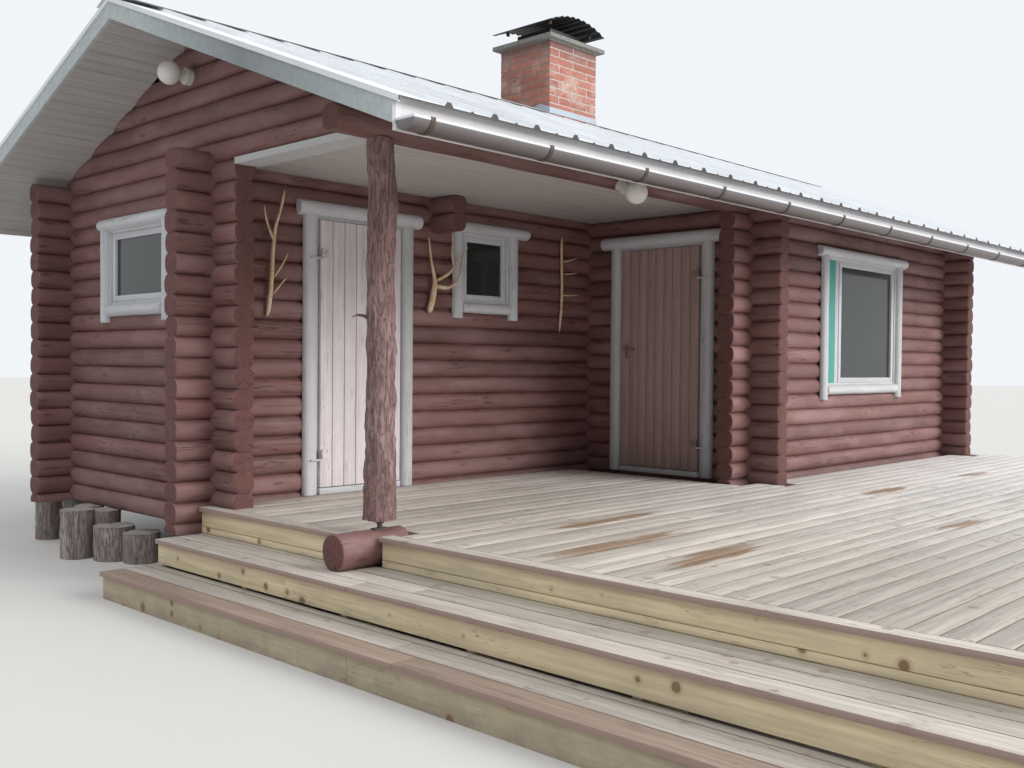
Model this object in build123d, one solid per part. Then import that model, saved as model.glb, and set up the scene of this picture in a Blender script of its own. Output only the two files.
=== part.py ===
from build123d import *
import math
import os

# Log cabin with a recessed porch, a terrace and long steps, from the ground up.
# Millimetres. X runs along the eaves to the right, Y runs into the house, Z is up from the ground.
# While modelling, X 0 is the centre of the left gable wall and Y 0 the centre of the porch's back wall.

# Log courses: each log is shown by a flat face between two slanted shoulders
COURSE = 130.0
LOG_HALF = 75.0
SEAM_HALF = 38.0
SHOULDER = 27.0
STUB = 325.0

# Joinery in the walls
CASING_DEPTH = 45.0
LINING = 28.0
LINING_LAP = 10.0
SASH = 45.0
SASH_DEPTH = 45.0
SASH_SETBACK = 8.0
GLASS = 6.0
LEAF_THICKNESS = 40.0
LEAF_SETBACK = 20.0
HINGE_GAP = 5.0
FREE_GAP = 9.0
HEAD_GAP = 6.0
STOP = 15.0
STOP_GAP = 5.0
THRESHOLD = 44.0
THRESHOLD_OUT = 25.0

# Each door: hinge-side edge of the opening, clear width, height of the leaf, and how far its header
# reaches past the casings
LEFT_DOOR_X = 740.0
LEFT_DOOR_CLEAR = 729.0
LEFT_DOOR_HEIGHT = 1847.0
LEFT_HEADER_OUT = (50.0, 65.0)
RIGHT_DOOR_Y = -450.0
RIGHT_DOOR_CLEAR = 798.0
RIGHT_DOOR_HEIGHT = 1847.0
RIGHT_HEADER_OUT = (80.0, 90.0)
DOOR_CASING = 112.0
HINGE_CASING_SHIFT = 10.0
DOOR_HEADER = 108.0

# Each window: edges of the opening in the wall, sill and head heights over the deck
WINDOW_CASING = 105.0
WINDOW_HEADER = 92.0
WINDOW_SILL = 85.0
CASING_TAIL = 45.0
GABLE_WINDOW = (530.0, 1345.0, 1310.0, 1860.0)
GABLE_HEADER_OUT = 10.0
SMALL_WINDOW = (2095.0, 2635.0, 1390.0, 1950.0)
SMALL_HEADER_OUT = 115.0
FRONT_WINDOW = (4935.0, 6375.0, 745.0, 1885.0)
FRONT_HEADER_OUT = (60.0, 75.0)
VENT_WIDTH = 165.0
MULLION = 75.0
VENT_THICKNESS = 12.0

# Door hardware
KNUCKLE_OUT = 8.0
PIN_R = 5.0
BARREL_R = 9.0
PIN_CLEARANCE = 0.3
HINGE_HALF = 30.0
HINGE_INSET = 230.0
HINGE_PLATE = 12.0
HINGE_PLATE_REACH = 20.0
HINGE_PLATE_SEAT = 5.0
HINGE_PLATE_CLEARANCE = 3.0
HINGE_PLATE_LAP = 1.0
STRAP_LEAF = 60.0
LEAF_STRAP_THICKNESS = 5.0
HANDLE_HEIGHT = 1000.0
HANDLE_INSET = 60.0
ROSE_HALF = 16.0
ROSE_RISE = 45.0
ROSE_DROP = 75.0
ROSE_THICKNESS = 6.0
GRIP_OUT = 55.0
GRIP_THICKNESS = 15.0
GRIP_HALF = 9.0
GRIP_LENGTH = 110.0
NECK_HALF = 8.0

# Levels above the ground: the walls have one course more than the tallest opening needs
RISER = 165.0
STEPS = 3
LINTEL_COURSES = 1
DECK_Z = STEPS * RISER
WALL_BASE = DECK_Z - RISER
DOOR_OVER_LEAF = THRESHOLD + 2 * HEAD_GAP + LINING
TALLEST_HEAD = DECK_Z + max(DOOR_OVER_LEAF + LEFT_DOOR_HEIGHT, DOOR_OVER_LEAF + RIGHT_DOOR_HEIGHT,
                            GABLE_WINDOW[3], SMALL_WINDOW[3], FRONT_WINDOW[3])
WALL_COURSES = math.ceil((TALLEST_HEAD - WALL_BASE) / COURSE) + LINTEL_COURSES
WALL_TOP = WALL_BASE + WALL_COURSES * COURSE
CROSS_BASE = WALL_BASE - COURSE / 2
PLATE_BASE = WALL_TOP - COURSE / 2
PLATE_TOP = PLATE_BASE + COURSE

# Plan: centres of the walls
SIDE_X = 3760.0
RIGHT_X = 7660.0
FRONT_Y = -1640.0
BACK_Y = 2060.0
TIE_X = 1840.0
TIE_COURSES = 2

# Roof
ROOF_SLOPE = 0.388
RIDGE_RISE = 987.0
RIDGE_Z = WALL_TOP + RIDGE_RISE
RIDGE_Y = (FRONT_Y + BACK_Y) / 2
EAVE_RUN = 2740.0
GABLE_OVERHANG = 620.0
SHEET_DEPTH = 30.0
SHEET_PAN = 8.0
ROOF_DEPTH = 123.0
RIB_PITCH = 297.0
RIB_FOOT = 56.0
RIB_HEAD = 24.0
SMALL_RIB_FOOT = 24.0
SMALL_RIB_HEAD = 12.0
SMALL_RIB_HEIGHT = 6.0
VERGE_LIP = 20.0
VERGE_THICKNESS = 8.0
RAKE_THICKNESS = 20.0
FASCIA_THICKNESS = 22.0
FASCIA_DEPTH = 150.0
SHEET_NOSE = 50.0
RIDGE_CAP_WIDTH = 150.0
RIDGE_CAP_THICKNESS = 8.0

# Gutter
GUTTER_RADIUS = 62.0
GUTTER_WALL = 4.0
GUTTER_DROP = 100.0
STRAP_WIDTH = 25.0
STRAP_THICKNESS = 4.0
STRAP_PITCH = 790.0
STRAP_END = 110.0
STRAP_BACK = 0.9

# Chimney
CHIMNEY_X = 3320.0
CHIMNEY_Y = 100.0
CHIMNEY_WIDTH = 640.0
CHIMNEY_LENGTH = 600.0
CHIMNEY_OVER_RIDGE = 613.0
CHIMNEY_TOP = RIDGE_Z + CHIMNEY_OVER_RIDGE
FLUE = 150.0
FLUE_PLACES = (-0.75, 0.75)
SLAB_THICKNESS = 35.0
SLAB_OVERHANG = 55.0
COLLAR_WIDTH = 420.0
COLLAR_LENGTH = 400.0
COLLAR_HEIGHT = 105.0
RAIN_CAP_GAP = 120.0
RAIN_CAP_RISE = 90.0
RAIN_CAP_THICKNESS = 8.0
CAP_LEG = 30.0
FLASHING_HEIGHT = 60.0
FLASHING_THICKNESS = 6.0

# Floor and foundation
FLOOR_STEP = 20.0
FLOOR_Z = DECK_Z + FLOOR_STEP
FLOOR_THICKNESS = 100.0
PIER_WIDTH = 150.0
FOOTING_PIER = (120.0, 180.0)

# Porch
CEILING_THICKNESS = 20.0
TRIM_THICKNESS = 40.0
TRIM_LEDGE = 25.0
POST_X = 12.0
POST_GAP = 45.0
POST_SIDES = 12
# Each ring of the post: share of its height, radius, and how far it leans along X and Y
POST_RINGS = ((0.0, 92.0, 0, 0), (0.3, 78.0, 4, 2), (0.62, 75.0, -4, 3), (0.86, 80.0, 8, -3),
              (1.0, 74.0, -6, 0))
TWIG_HEIGHT = 1165.0
TWIG_LENGTH = 110.0
TWIG_R = (14.0, 5.0)
TWIG_TILT = -75.0
TWIG_SHIFT = 20.0
SCREW_R = 14.0
SCREW_PLATE = 90.0
SCREW_PLATE_DEPTH = 40.0
SCREW_PLATE_THICKNESS = 8.0
NUT_R = 24.0
NUT_HEIGHT = 12.0
NUT_PLACE = 0.6
FOOTING_R = 96.0
FOOTING_SINK = 4.0
FOOTING_FLAT = 6.0
FOOTING_LEFT = -300.0
FOOTING_RIGHT = 160.0

# Terrace and steps
BOARD = 28.0
DECK_EDGE_X = -75.0
PORCH_EDGE_X = -170.0
TERRACE_FRONT_Y = -5500.0
DECK_RIGHT_X = 7960.0
NOSING = 22.0
RISER_THICKNESS = 25.0
MIDDLE_NOSE_X = -475.0
LOWER_NOSE_X = -785.0
MIDDLE_END_Y = -95.0
LOWER_END_Y = -20.0
JOIST_DEPTH = 145.0
JOIST_THICKNESS = 45.0
JOIST_PITCH = 790.0
LEG = 95.0
BEARER_PITCH = 890.0
DECK_CLEARANCE = 4.0

# Lamps
GLOBE_R = 75.0
LAMP_BASE_R = 54.0
LAMP_BASE_DEPTH = 40.0
LAMP_NECK_R = 32.0
LAMP_REACH = 147.0
GABLE_LAMP_COURSES = 4.5
PORCH_LAMP_X = 2020.0
PORCH_LAMP_TILT = 30.0
PORCH_LAMP_INSET = 12.0
PORCH_LAMP_RISE = 20.0

# Log rounds at the foot of the left gable: X, Y, radius and how far each ends under the wall's base,
# in groups that touch
FOOT_STUMPS = (((-107.0, 2316.0, 100.0, 0.0),),
               ((-100.0, 1620.0, 105.0, 0.0),),
               ((-110.0, 1330.0, 105.0, 0.0), (-300.0, 1370.0, 115.0, -15.0), (-140.0, 1130.0, 140.0, 90.0),
                (-50.0, 900.0, 125.0, 120.0)))
STUMP_SIDES = 10

# The origin is the middle of the whole footprint at ground level
SHEET_LEFT_X = -GABLE_OVERHANG - VERGE_THICKNESS
SHEET_RIGHT_X = RIGHT_X + GABLE_OVERHANG + VERGE_THICKNESS
ORIGIN_X = (LOWER_NOSE_X + SHEET_RIGHT_X) / 2
ORIGIN_Y = (TERRACE_FRONT_Y + RIDGE_Y + EAVE_RUN) / 2

os.makedirs("parts", exist_ok=True)


def save(name, *solids):
    """Write one node: one solid, or several that stand apart."""
    placed = [Pos(-ORIGIN_X, -ORIGIN_Y, 0) * s for group in solids for s in group.solids()]
    shape = placed[0] if len(placed) == 1 else Compound(children=placed)
    export_step(shape, f"parts/{name}.step")


def block(x0, x1, y0, y1, z0, z1):
    """Box between two corners."""
    return Pos((x0 + x1) / 2, (y0 + y1) / 2, (z0 + z1) / 2) * Box(x1 - x0, y1 - y0, z1 - z0)


def prism_x(points, x0, x1):
    """Outline of (y, z) points pushed along X."""
    face = make_face(Polyline(*[(x0, y, z) for y, z in points], close=True))
    return extrude(face, amount=x1 - x0, dir=(1, 0, 0))


def prism_y(points, y0, y1):
    """Outline of (x, z) points pushed along Y."""
    face = make_face(Polyline(*[(x, y0, z) for x, z in points], close=True))
    return extrude(face, amount=y1 - y0, dir=(0, 1, 0))


# Log walls

def log_half(z, base):
    """Half the thickness of a wall at height z, where base is a seam between logs."""
    into = (z - base) % COURSE
    edge = min(into, COURSE - into)
    return min(LOG_HALF, SEAM_HALF + (LOG_HALF - SEAM_HALF) * edge / SHOULDER)


def log_outline(z0, z1, base):
    """Outline of a stack of logs between two heights, up one side and down the other."""
    first = math.floor((z0 - base) / COURSE)
    last = math.ceil((z1 - base) / COURSE)
    heights = [z0, z1]
    for n in range(first, last + 1):
        seam = base + n * COURSE
        heights += [h for h in (seam - SHOULDER, seam, seam + SHOULDER) if z0 < h < z1]
    heights = sorted(set(heights))
    rising = [(log_half(h, base), h) for h in heights]
    return rising + [(-w, h) for w, h in reversed(rising)]


def logs_x(x0, x1, z0, z1, y):
    """Stack of logs along X, its seams half a course off those along Y."""
    return prism_x([(y + w, h) for w, h in log_outline(z0, z1, CROSS_BASE)], x0, x1)


def logs_y(y0, y1, z0, z1, x, *crossings):
    """Stack of logs along Y, notched out where walls along X cross it."""
    stack = prism_y([(x + w, h) for w, h in log_outline(z0, z1, WALL_BASE)], y0, y1)
    for y in crossings:
        stack -= block(x - 2 * LOG_HALF, x + 2 * LOG_HALF, y - LOG_HALF, y + LOG_HALF, z0 - 1, z1 + 1)
    return stack


def above_deck(window):
    """Opening of a window with its heights counted from the ground."""
    return window[0], window[1], DECK_Z + window[2], DECK_Z + window[3]


def door_opening(start, clear, height):
    """Rough opening of a door: its lining stands on the deck's level."""
    return start - LINING, start + clear + LINING, DECK_Z, DECK_Z + DOOR_OVER_LEAF + height


def roof_under(y):
    """Height of the roof's underside over a place."""
    return RIDGE_Z - SHEET_DEPTH - ROOF_DEPTH - ROOF_SLOPE * abs(y - RIDGE_Y)


def roof_chevron(run, low, high, x0, x1):
    """Band that follows both slopes, between two depths below the roof's top."""
    ends = (RIDGE_Y - run, RIDGE_Y, RIDGE_Y + run)
    fall = [RIDGE_Z - ROOF_SLOPE * abs(y - RIDGE_Y) for y in ends]
    top = [(y, z - high) for y, z in zip(ends, fall)]
    bottom = [(y, z - low) for y, z in zip(ends, fall)]
    return prism_x(top + bottom[::-1], x0, x1)


GABLE_OPENING = above_deck(GABLE_WINDOW)
SMALL_OPENING = above_deck(SMALL_WINDOW)
FRONT_OPENING = above_deck(FRONT_WINDOW)
LEFT_OPENING = door_opening(LEFT_DOOR_X, LEFT_DOOR_CLEAR, LEFT_DOOR_HEIGHT)
RIGHT_OPENING = door_opening(-RIGHT_DOOR_Y, RIGHT_DOOR_CLEAR, RIGHT_DOOR_HEIGHT)

# Everything that the roof's underside lets stand
under_roof = prism_x([(FRONT_Y - STUB, WALL_BASE), (FRONT_Y - STUB, roof_under(FRONT_Y - STUB)),
                      (RIDGE_Y, roof_under(RIDGE_Y)), (BACK_Y + STUB, roof_under(BACK_Y + STUB)),
                      (BACK_Y + STUB, WALL_BASE)], -STUB, RIGHT_X + STUB)

# Left gable wall, under the ceiling's level, with its window
g0, g1, sill, head = GABLE_OPENING
save("gable_wall",
     logs_y(-STUB, g0, WALL_BASE, WALL_TOP, 0, 0),
     logs_y(g1, BACK_Y + STUB, WALL_BASE, WALL_TOP, 0, BACK_Y) & under_roof)
save("gable_wall_infill",
     logs_y(g0, g1, WALL_BASE, sill, 0),
     logs_y(g0, g1, head, WALL_TOP, 0))

# Porch's back wall with a door and a small window
d0, d1, door_foot, door_head = LEFT_OPENING
s0, s1, sill, head = SMALL_OPENING
RECESS_END = SIDE_X + LOG_HALF
save("recess_wall",
     logs_x(-STUB, d0, WALL_BASE, PLATE_TOP, 0),
     logs_x(d1, s0, WALL_BASE, PLATE_TOP, 0),
     logs_x(s1, RECESS_END, WALL_BASE, PLATE_TOP, 0))
save("recess_wall_infill",
     logs_x(d0, d1, WALL_BASE, door_foot, 0),
     logs_x(d0, d1, door_head, PLATE_TOP, 0),
     logs_x(s0, s1, WALL_BASE, sill, 0),
     logs_x(s0, s1, head, PLATE_TOP, 0))

# Porch's side wall with the second door
r0, r1, door_foot, door_head = RIGHT_OPENING
save("side_wall",
     logs_y(-r0, 0, WALL_BASE, WALL_TOP, SIDE_X, 0),
     logs_y(FRONT_Y - STUB, -r1, WALL_BASE, WALL_TOP, SIDE_X, FRONT_Y) & under_roof)
save("side_wall_infill",
     logs_y(-r1, -r0, WALL_BASE, door_foot, SIDE_X),
     logs_y(-r1, -r0, door_head, WALL_TOP, SIDE_X))

# Front wall of the right-hand room
w0, w1, sill, head = FRONT_OPENING
save("front_wall",
     logs_x(SIDE_X - STUB, w0, WALL_BASE, PLATE_BASE, FRONT_Y),
     logs_x(w1, RIGHT_X + STUB, WALL_BASE, PLATE_BASE, FRONT_Y))
save("front_wall_infill",
     logs_x(w0, w1, WALL_BASE, sill, FRONT_Y),
     logs_x(w0, w1, head, PLATE_BASE, FRONT_Y))

# Right gable wall and back wall
right_gable = logs_y(FRONT_Y - STUB, BACK_Y + STUB, WALL_BASE, WALL_TOP, RIGHT_X, FRONT_Y, BACK_Y)
save("right_gable_wall", right_gable & under_roof)
back_plate = logs_x(LOG_HALF, RIGHT_X - LOG_HALF, PLATE_TOP, PLATE_TOP + COURSE / 2, BACK_Y)
save("back_wall", logs_x(-STUB, RIGHT_X + STUB, WALL_BASE, PLATE_TOP, BACK_Y) + (back_plate & under_roof))

# Eaves log: the top log of the front wall, which runs on over the porch to the post
front_plate = logs_x(LOG_HALF, RIGHT_X - LOG_HALF, PLATE_TOP, PLATE_TOP + COURSE / 2, FRONT_Y)
save("eaves_log", logs_x(-STUB, RIGHT_X + STUB, PLATE_BASE, PLATE_TOP, FRONT_Y) + (front_plate & under_roof))


def gable_top(x, *crossings):
    """Gable's logs over the ceiling's level, cut to the roof and notched over the walls that cross."""
    stack = prism_y([(x + w, h) for w, h in log_outline(WALL_TOP, roof_under(RIDGE_Y), WALL_BASE)],
                    FRONT_Y - LOG_HALF, BACK_Y + LOG_HALF)
    stack = stack & under_roof
    for y in crossings:
        stack -= block(x - 2 * LOG_HALF, x + 2 * LOG_HALF, y - LOG_HALF, y + LOG_HALF, WALL_BASE, PLATE_TOP)
    return stack


save("left_gable_top", gable_top(0, FRONT_Y, 0, BACK_Y))
save("right_gable_top", gable_top(RIGHT_X, FRONT_Y, BACK_Y))
save("tie_beam", logs_y(-STUB, BACK_Y, WALL_TOP - TIE_COURSES * COURSE, WALL_TOP, TIE_X, 0, BACK_Y))

# Foundation piers under the crossings and between them
pier_places = [(0, 0), (0, BACK_Y), (SIDE_X, 0), (SIDE_X, FRONT_Y), (RIGHT_X, FRONT_Y), (RIGHT_X, BACK_Y),
               (TIE_X, 0), (TIE_X, BACK_Y), (SIDE_X, BACK_Y), ((SIDE_X + RIGHT_X) / 2, FRONT_Y),
               ((SIDE_X + RIGHT_X) / 2, BACK_Y), (RIGHT_X, RIDGE_Y)]
half_pier = PIER_WIDTH / 2
save("foundation_piers", *[block(x - half_pier, x + half_pier, y - half_pier, y + half_pier, 0, WALL_BASE)
                           for x, y in pier_places],
     block(FOOTING_RIGHT - FOOTING_PIER[0], FOOTING_RIGHT, FRONT_Y - FOOTING_PIER[1] / 2,
           FRONT_Y + FOOTING_PIER[1] / 2, 0, WALL_BASE))

# Log rounds under the edge of the left gable and against each other
stump_groups = []
for group in FOOT_STUMPS:
    rounds = [Pos(x, y, 0) * extrude(RegularPolygon(r, STUMP_SIDES), WALL_BASE - under)
              for x, y, r, under in group]
    joined = rounds[0]
    for log_round in rounds[1:]:
        joined += log_round
    stump_groups.append(joined)
save("foot_stumps", *stump_groups)

# Floor of the house, with the chimney passing through it
CHIMNEY_BACK = CHIMNEY_Y + CHIMNEY_LENGTH
CHIMNEY_RIGHT = CHIMNEY_X + CHIMNEY_WIDTH
floor_low = FLOOR_Z - FLOOR_THICKNESS
house_floor = block(LOG_HALF, RIGHT_X - LOG_HALF, LOG_HALF, BACK_Y - LOG_HALF, floor_low, FLOOR_Z)
room_floor = block(RECESS_END, RIGHT_X - LOG_HALF, FRONT_Y + LOG_HALF, LOG_HALF, floor_low, FLOOR_Z)
shaft_hole = block(CHIMNEY_X, CHIMNEY_RIGHT, CHIMNEY_Y, CHIMNEY_BACK, floor_low - 1, FLOOR_Z + 1)
save("floor", house_floor + room_floor - shaft_hole)

# Porch ceiling, and the white trim under the gable logs that cross the porch
PORCH_FRONT = FRONT_Y + LOG_HALF
PORCH_BACK = -LOG_HALF
save("porch_ceiling", block(LOG_HALF, SIDE_X, PORCH_FRONT, PORCH_BACK,
                            WALL_TOP, WALL_TOP + CEILING_THICKNESS))
save("ceiling_trim", block(-LOG_HALF, LOG_HALF + TRIM_LEDGE, PORCH_FRONT, -STUB,
                           WALL_TOP - TRIM_THICKNESS, WALL_TOP))

# Post on a screw, standing on a short log with a flat cut into its top
footing_x = (FOOTING_LEFT + FOOTING_RIGHT) / 2
footing = Rot(0, 90, 0) * Cylinder(FOOTING_R, FOOTING_RIGHT - FOOTING_LEFT)
footing = Pos(footing_x, FRONT_Y, WALL_BASE + FOOTING_R - FOOTING_SINK) * footing
SCREW_FOOT = WALL_BASE + 2 * FOOTING_R - FOOTING_FLAT
under_footing = block(FOOTING_LEFT, FOOTING_RIGHT, FRONT_Y - FOOTING_R, FRONT_Y + FOOTING_R, 0, WALL_BASE)
seat = block(POST_X - SCREW_PLATE, POST_X + SCREW_PLATE, FRONT_Y - FOOTING_R, FRONT_Y + FOOTING_R,
             SCREW_FOOT, SCREW_FOOT + FOOTING_R)
save("footing_log", footing - under_footing - seat)
POST_FOOT = SCREW_FOOT + SCREW_PLATE_THICKNESS + POST_GAP
half_plate = SCREW_PLATE / 2
plate_foot = block(POST_X - half_plate, POST_X + half_plate, FRONT_Y - SCREW_PLATE_DEPTH / 2,
                   FRONT_Y + SCREW_PLATE_DEPTH / 2, SCREW_FOOT, SCREW_FOOT + SCREW_PLATE_THICKNESS)
screw_length = POST_FOOT - SCREW_FOOT
screw = Pos(POST_X, FRONT_Y, (SCREW_FOOT + POST_FOOT) / 2) * Cylinder(SCREW_R, screw_length)
nut = extrude(RegularPolygon(NUT_R, 6), NUT_HEIGHT)
nut = Pos(POST_X, FRONT_Y, SCREW_FOOT + screw_length * NUT_PLACE) * nut
save("post_screw", plate_foot + screw + nut)

post_height = PLATE_BASE - POST_FOOT
ring_faces = [Pos(POST_X + dx, FRONT_Y + dy, POST_FOOT + share * post_height)
              * make_face(RegularPolygon(radius, POST_SIDES).wire()) for share, radius, dx, dy in POST_RINGS]
post_waist = min(radius for share, radius, dx, dy in POST_RINGS)
twig = Rot(0, TWIG_TILT, 0) * Cone(TWIG_R[0], TWIG_R[1], TWIG_LENGTH)
twig = Pos(POST_X - post_waist, FRONT_Y - TWIG_SHIFT, DECK_Z + TWIG_HEIGHT) * twig
save("post", loft(ring_faces, ruled=True) + twig)

# Terrace boards as one plate, cut round the log ends that stand in it
terrace = block(DECK_EDGE_X, DECK_RIGHT_X, TERRACE_FRONT_Y, FRONT_Y + LOG_HALF, DECK_Z - BOARD, DECK_Z)
porch_deck = block(PORCH_EDGE_X, SIDE_X - LOG_HALF, FRONT_Y + LOG_HALF, -LOG_HALF, DECK_Z - BOARD, DECK_Z)


def cut_round(x0, x1, y0, y1):
    """Hole through the deck's boards."""
    return block(x0, x1, y0, y1, DECK_Z - BOARD - 1, DECK_Z + 1)


FOOTING_NEAR = FRONT_Y - FOOTING_R - DECK_CLEARANCE
FOOTING_FAR = FRONT_Y + FOOTING_R + DECK_CLEARANCE
deck = terrace + porch_deck
deck -= cut_round(SIDE_X - STUB, RIGHT_X + STUB, FRONT_Y - LOG_HALF, FRONT_Y + LOG_HALF)
deck -= cut_round(SIDE_X - LOG_HALF, SIDE_X + LOG_HALF, FRONT_Y - STUB, FRONT_Y - LOG_HALF)
deck -= cut_round(RIGHT_X - LOG_HALF, RIGHT_X + LOG_HALF, FRONT_Y - STUB, FRONT_Y - LOG_HALF)
deck -= cut_round(-LOG_HALF, LOG_HALF, -STUB, -LOG_HALF)
deck -= cut_round(PORCH_EDGE_X - 1, FOOTING_RIGHT + DECK_CLEARANCE, FOOTING_NEAR, FOOTING_FAR)
save("deck_boards", deck)

# Joists along Y under the boards, and their legs
JOIST_TOP = DECK_Z - BOARD
JOIST_LOW = JOIST_TOP - JOIST_DEPTH
half_joist = JOIST_THICKNESS / 2
RISER_BACK = DECK_EDGE_X + NOSING + RISER_THICKNESS
PORCH_RISER_BACK = PORCH_EDGE_X + NOSING + RISER_THICKNESS
joist_front = TERRACE_FRONT_Y + RISER_THICKNESS
terrace_joists = int((DECK_RIGHT_X - RISER_BACK) // JOIST_PITCH) + 1
last_joist = DECK_RIGHT_X - NOSING - RISER_THICKNESS - half_joist
first_joist = RISER_BACK + half_joist
joist_step = (last_joist - first_joist) / (terrace_joists - 1)
joist_xs = [first_joist + n * joist_step for n in range(terrace_joists)]
porch_right = SIDE_X - LOG_HALF - JOIST_THICKNESS
porch_xs = [PORCH_RISER_BACK + half_joist] + [x for x in joist_xs[1:] if x < porch_right]
porch_joist_back = -LOG_HALF - DECK_CLEARANCE
joists = [block(x - half_joist, x + half_joist, joist_front, FOOTING_NEAR, JOIST_LOW, JOIST_TOP)
          for x in joist_xs]
joists += [block(x - half_joist, x + half_joist, FOOTING_FAR, porch_joist_back, JOIST_LOW, JOIST_TOP)
           for x in porch_xs]
save("deck_joists", *joists)
half_leg = LEG / 2
leg_ys = (joist_front + LEG, (joist_front + FOOTING_NEAR) / 2, FOOTING_NEAR - LEG)
porch_leg_ys = (FOOTING_FAR + LEG, porch_joist_back - 2 * LEG)
leg_places = [(x, y) for x in joist_xs for y in leg_ys] + [(x, y) for x in porch_xs for y in porch_leg_ys]
save("deck_legs", *[block(x - half_leg, x + half_leg, y - half_leg, y + half_leg, 0, JOIST_LOW)
                    for x, y in leg_places if x > first_joist + 1])

# Riser and rim boards
middle_top = DECK_Z - RISER
lower_top = DECK_Z - 2 * RISER
middle_riser_x = MIDDLE_NOSE_X + NOSING
lower_riser_x = LOWER_NOSE_X + NOSING
save("upper_riser",
     block(DECK_EDGE_X + NOSING, RISER_BACK, TERRACE_FRONT_Y, FOOTING_NEAR, middle_top, DECK_Z - BOARD),
     block(PORCH_EDGE_X + NOSING, PORCH_RISER_BACK, FOOTING_FAR, -LOG_HALF, middle_top, DECK_Z - BOARD))
save("middle_riser", block(middle_riser_x, middle_riser_x + RISER_THICKNESS, TERRACE_FRONT_Y, MIDDLE_END_Y,
                           lower_top, middle_top - BOARD))
save("lower_riser", block(lower_riser_x, lower_riser_x + RISER_THICKNESS, TERRACE_FRONT_Y, LOWER_END_Y,
                          0, lower_top - BOARD))
save("middle_tread", block(MIDDLE_NOSE_X, PORCH_RISER_BACK, TERRACE_FRONT_Y, MIDDLE_END_Y,
                           middle_top - BOARD, middle_top)
     + block(PORCH_RISER_BACK, RISER_BACK, TERRACE_FRONT_Y, FOOTING_FAR, middle_top - BOARD, middle_top))
save("lower_tread", block(LOWER_NOSE_X, middle_riser_x + RISER_THICKNESS, TERRACE_FRONT_Y, LOWER_END_Y,
                          lower_top - BOARD, lower_top))
save("rim_boards",
     block(RISER_BACK, last_joist + half_joist, TERRACE_FRONT_Y, joist_front, JOIST_LOW, JOIST_TOP),
     block(last_joist + half_joist, last_joist + half_joist + RISER_THICKNESS, TERRACE_FRONT_Y,
           FRONT_Y - LOG_HALF - DECK_CLEARANCE, JOIST_LOW, JOIST_TOP))

# Sawn bearers that carry the treads
low_x0 = lower_riser_x + RISER_THICKNESS
low_x1 = middle_riser_x + RISER_THICKNESS
bearer_outline = [(low_x0, 0), (low_x0, lower_top - BOARD), (low_x1, lower_top - BOARD),
                  (low_x1, middle_top - BOARD), (PORCH_RISER_BACK, middle_top - BOARD),
                  (PORCH_RISER_BACK, 0)]
bearers = int((MIDDLE_END_Y - TERRACE_FRONT_Y) // BEARER_PITCH) + 1
bearer_step = (MIDDLE_END_Y - TERRACE_FRONT_Y - JOIST_THICKNESS) / (bearers - 1)
save("step_bearers", *[prism_y(bearer_outline, TERRACE_FRONT_Y + n * bearer_step,
                               TERRACE_FRONT_Y + n * bearer_step + JOIST_THICKNESS) for n in range(bearers)])

# Roof: boarded body, fascias, rake boards, ribbed sheets and ridge cap
fascia_out = EAVE_RUN - SHEET_NOSE
fascia_in = fascia_out - FASCIA_THICKNESS
ROOF_LEFT = -GABLE_OVERHANG + RAKE_THICKNESS
ROOF_RIGHT = RIGHT_X + GABLE_OVERHANG - RAKE_THICKNESS
shaft = block(CHIMNEY_X, CHIMNEY_RIGHT, CHIMNEY_Y, CHIMNEY_BACK, 0, CHIMNEY_TOP)
roof_body = roof_chevron(fascia_in, SHEET_DEPTH + ROOF_DEPTH, SHEET_DEPTH, ROOF_LEFT, ROOF_RIGHT)
save("roof_body", roof_body - shaft)
fascia_top = RIDGE_Z - SHEET_DEPTH - ROOF_SLOPE * fascia_out
save("fascias", *[block(ROOF_LEFT, ROOF_RIGHT, y0, y1, fascia_top - FASCIA_DEPTH, fascia_top)
                  for y0, y1 in ((RIDGE_Y - fascia_out, RIDGE_Y - fascia_in),
                                 (RIDGE_Y + fascia_in, RIDGE_Y + fascia_out))])
save("rake_boards", *[roof_chevron(fascia_out, SHEET_DEPTH + ROOF_DEPTH, SHEET_DEPTH, x0, x1)
                      for x0, x1 in ((-GABLE_OVERHANG, ROOF_LEFT), (ROOF_RIGHT, RIGHT_X + GABLE_OVERHANG))])


def sheet_outline():
    """Cross section of the ribbed sheet with its downturned verges, (x, z) from the roof's top."""
    ribs = int((SHEET_RIGHT_X - SHEET_LEFT_X - RIB_PITCH / 2) // RIB_PITCH)
    start = (SHEET_LEFT_X + SHEET_RIGHT_X - (ribs - 1) * RIB_PITCH) / 2
    pan = -SHEET_DEPTH + SHEET_PAN
    points = [(SHEET_LEFT_X, -SHEET_DEPTH - VERGE_LIP), (SHEET_LEFT_X, pan)]
    for n in range(ribs):
        x = start + n * RIB_PITCH
        points += [(x - RIB_FOOT / 2, pan), (x - RIB_HEAD / 2, 0),
                   (x + RIB_HEAD / 2, 0), (x + RIB_FOOT / 2, pan)]
        if n < ribs - 1:
            x += RIB_PITCH / 2
            top = pan + SMALL_RIB_HEIGHT
            points += [(x - SMALL_RIB_FOOT / 2, pan), (x - SMALL_RIB_HEAD / 2, top),
                       (x + SMALL_RIB_HEAD / 2, top), (x + SMALL_RIB_FOOT / 2, pan)]
    points += [(SHEET_RIGHT_X, pan), (SHEET_RIGHT_X, -SHEET_DEPTH - VERGE_LIP)]
    inner_left = SHEET_LEFT_X + VERGE_THICKNESS
    inner_right = SHEET_RIGHT_X - VERGE_THICKNESS
    return points + [(inner_right, -SHEET_DEPTH - VERGE_LIP), (inner_right, -SHEET_DEPTH),
                     (inner_left, -SHEET_DEPTH), (inner_left, -SHEET_DEPTH - VERGE_LIP)]


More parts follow.
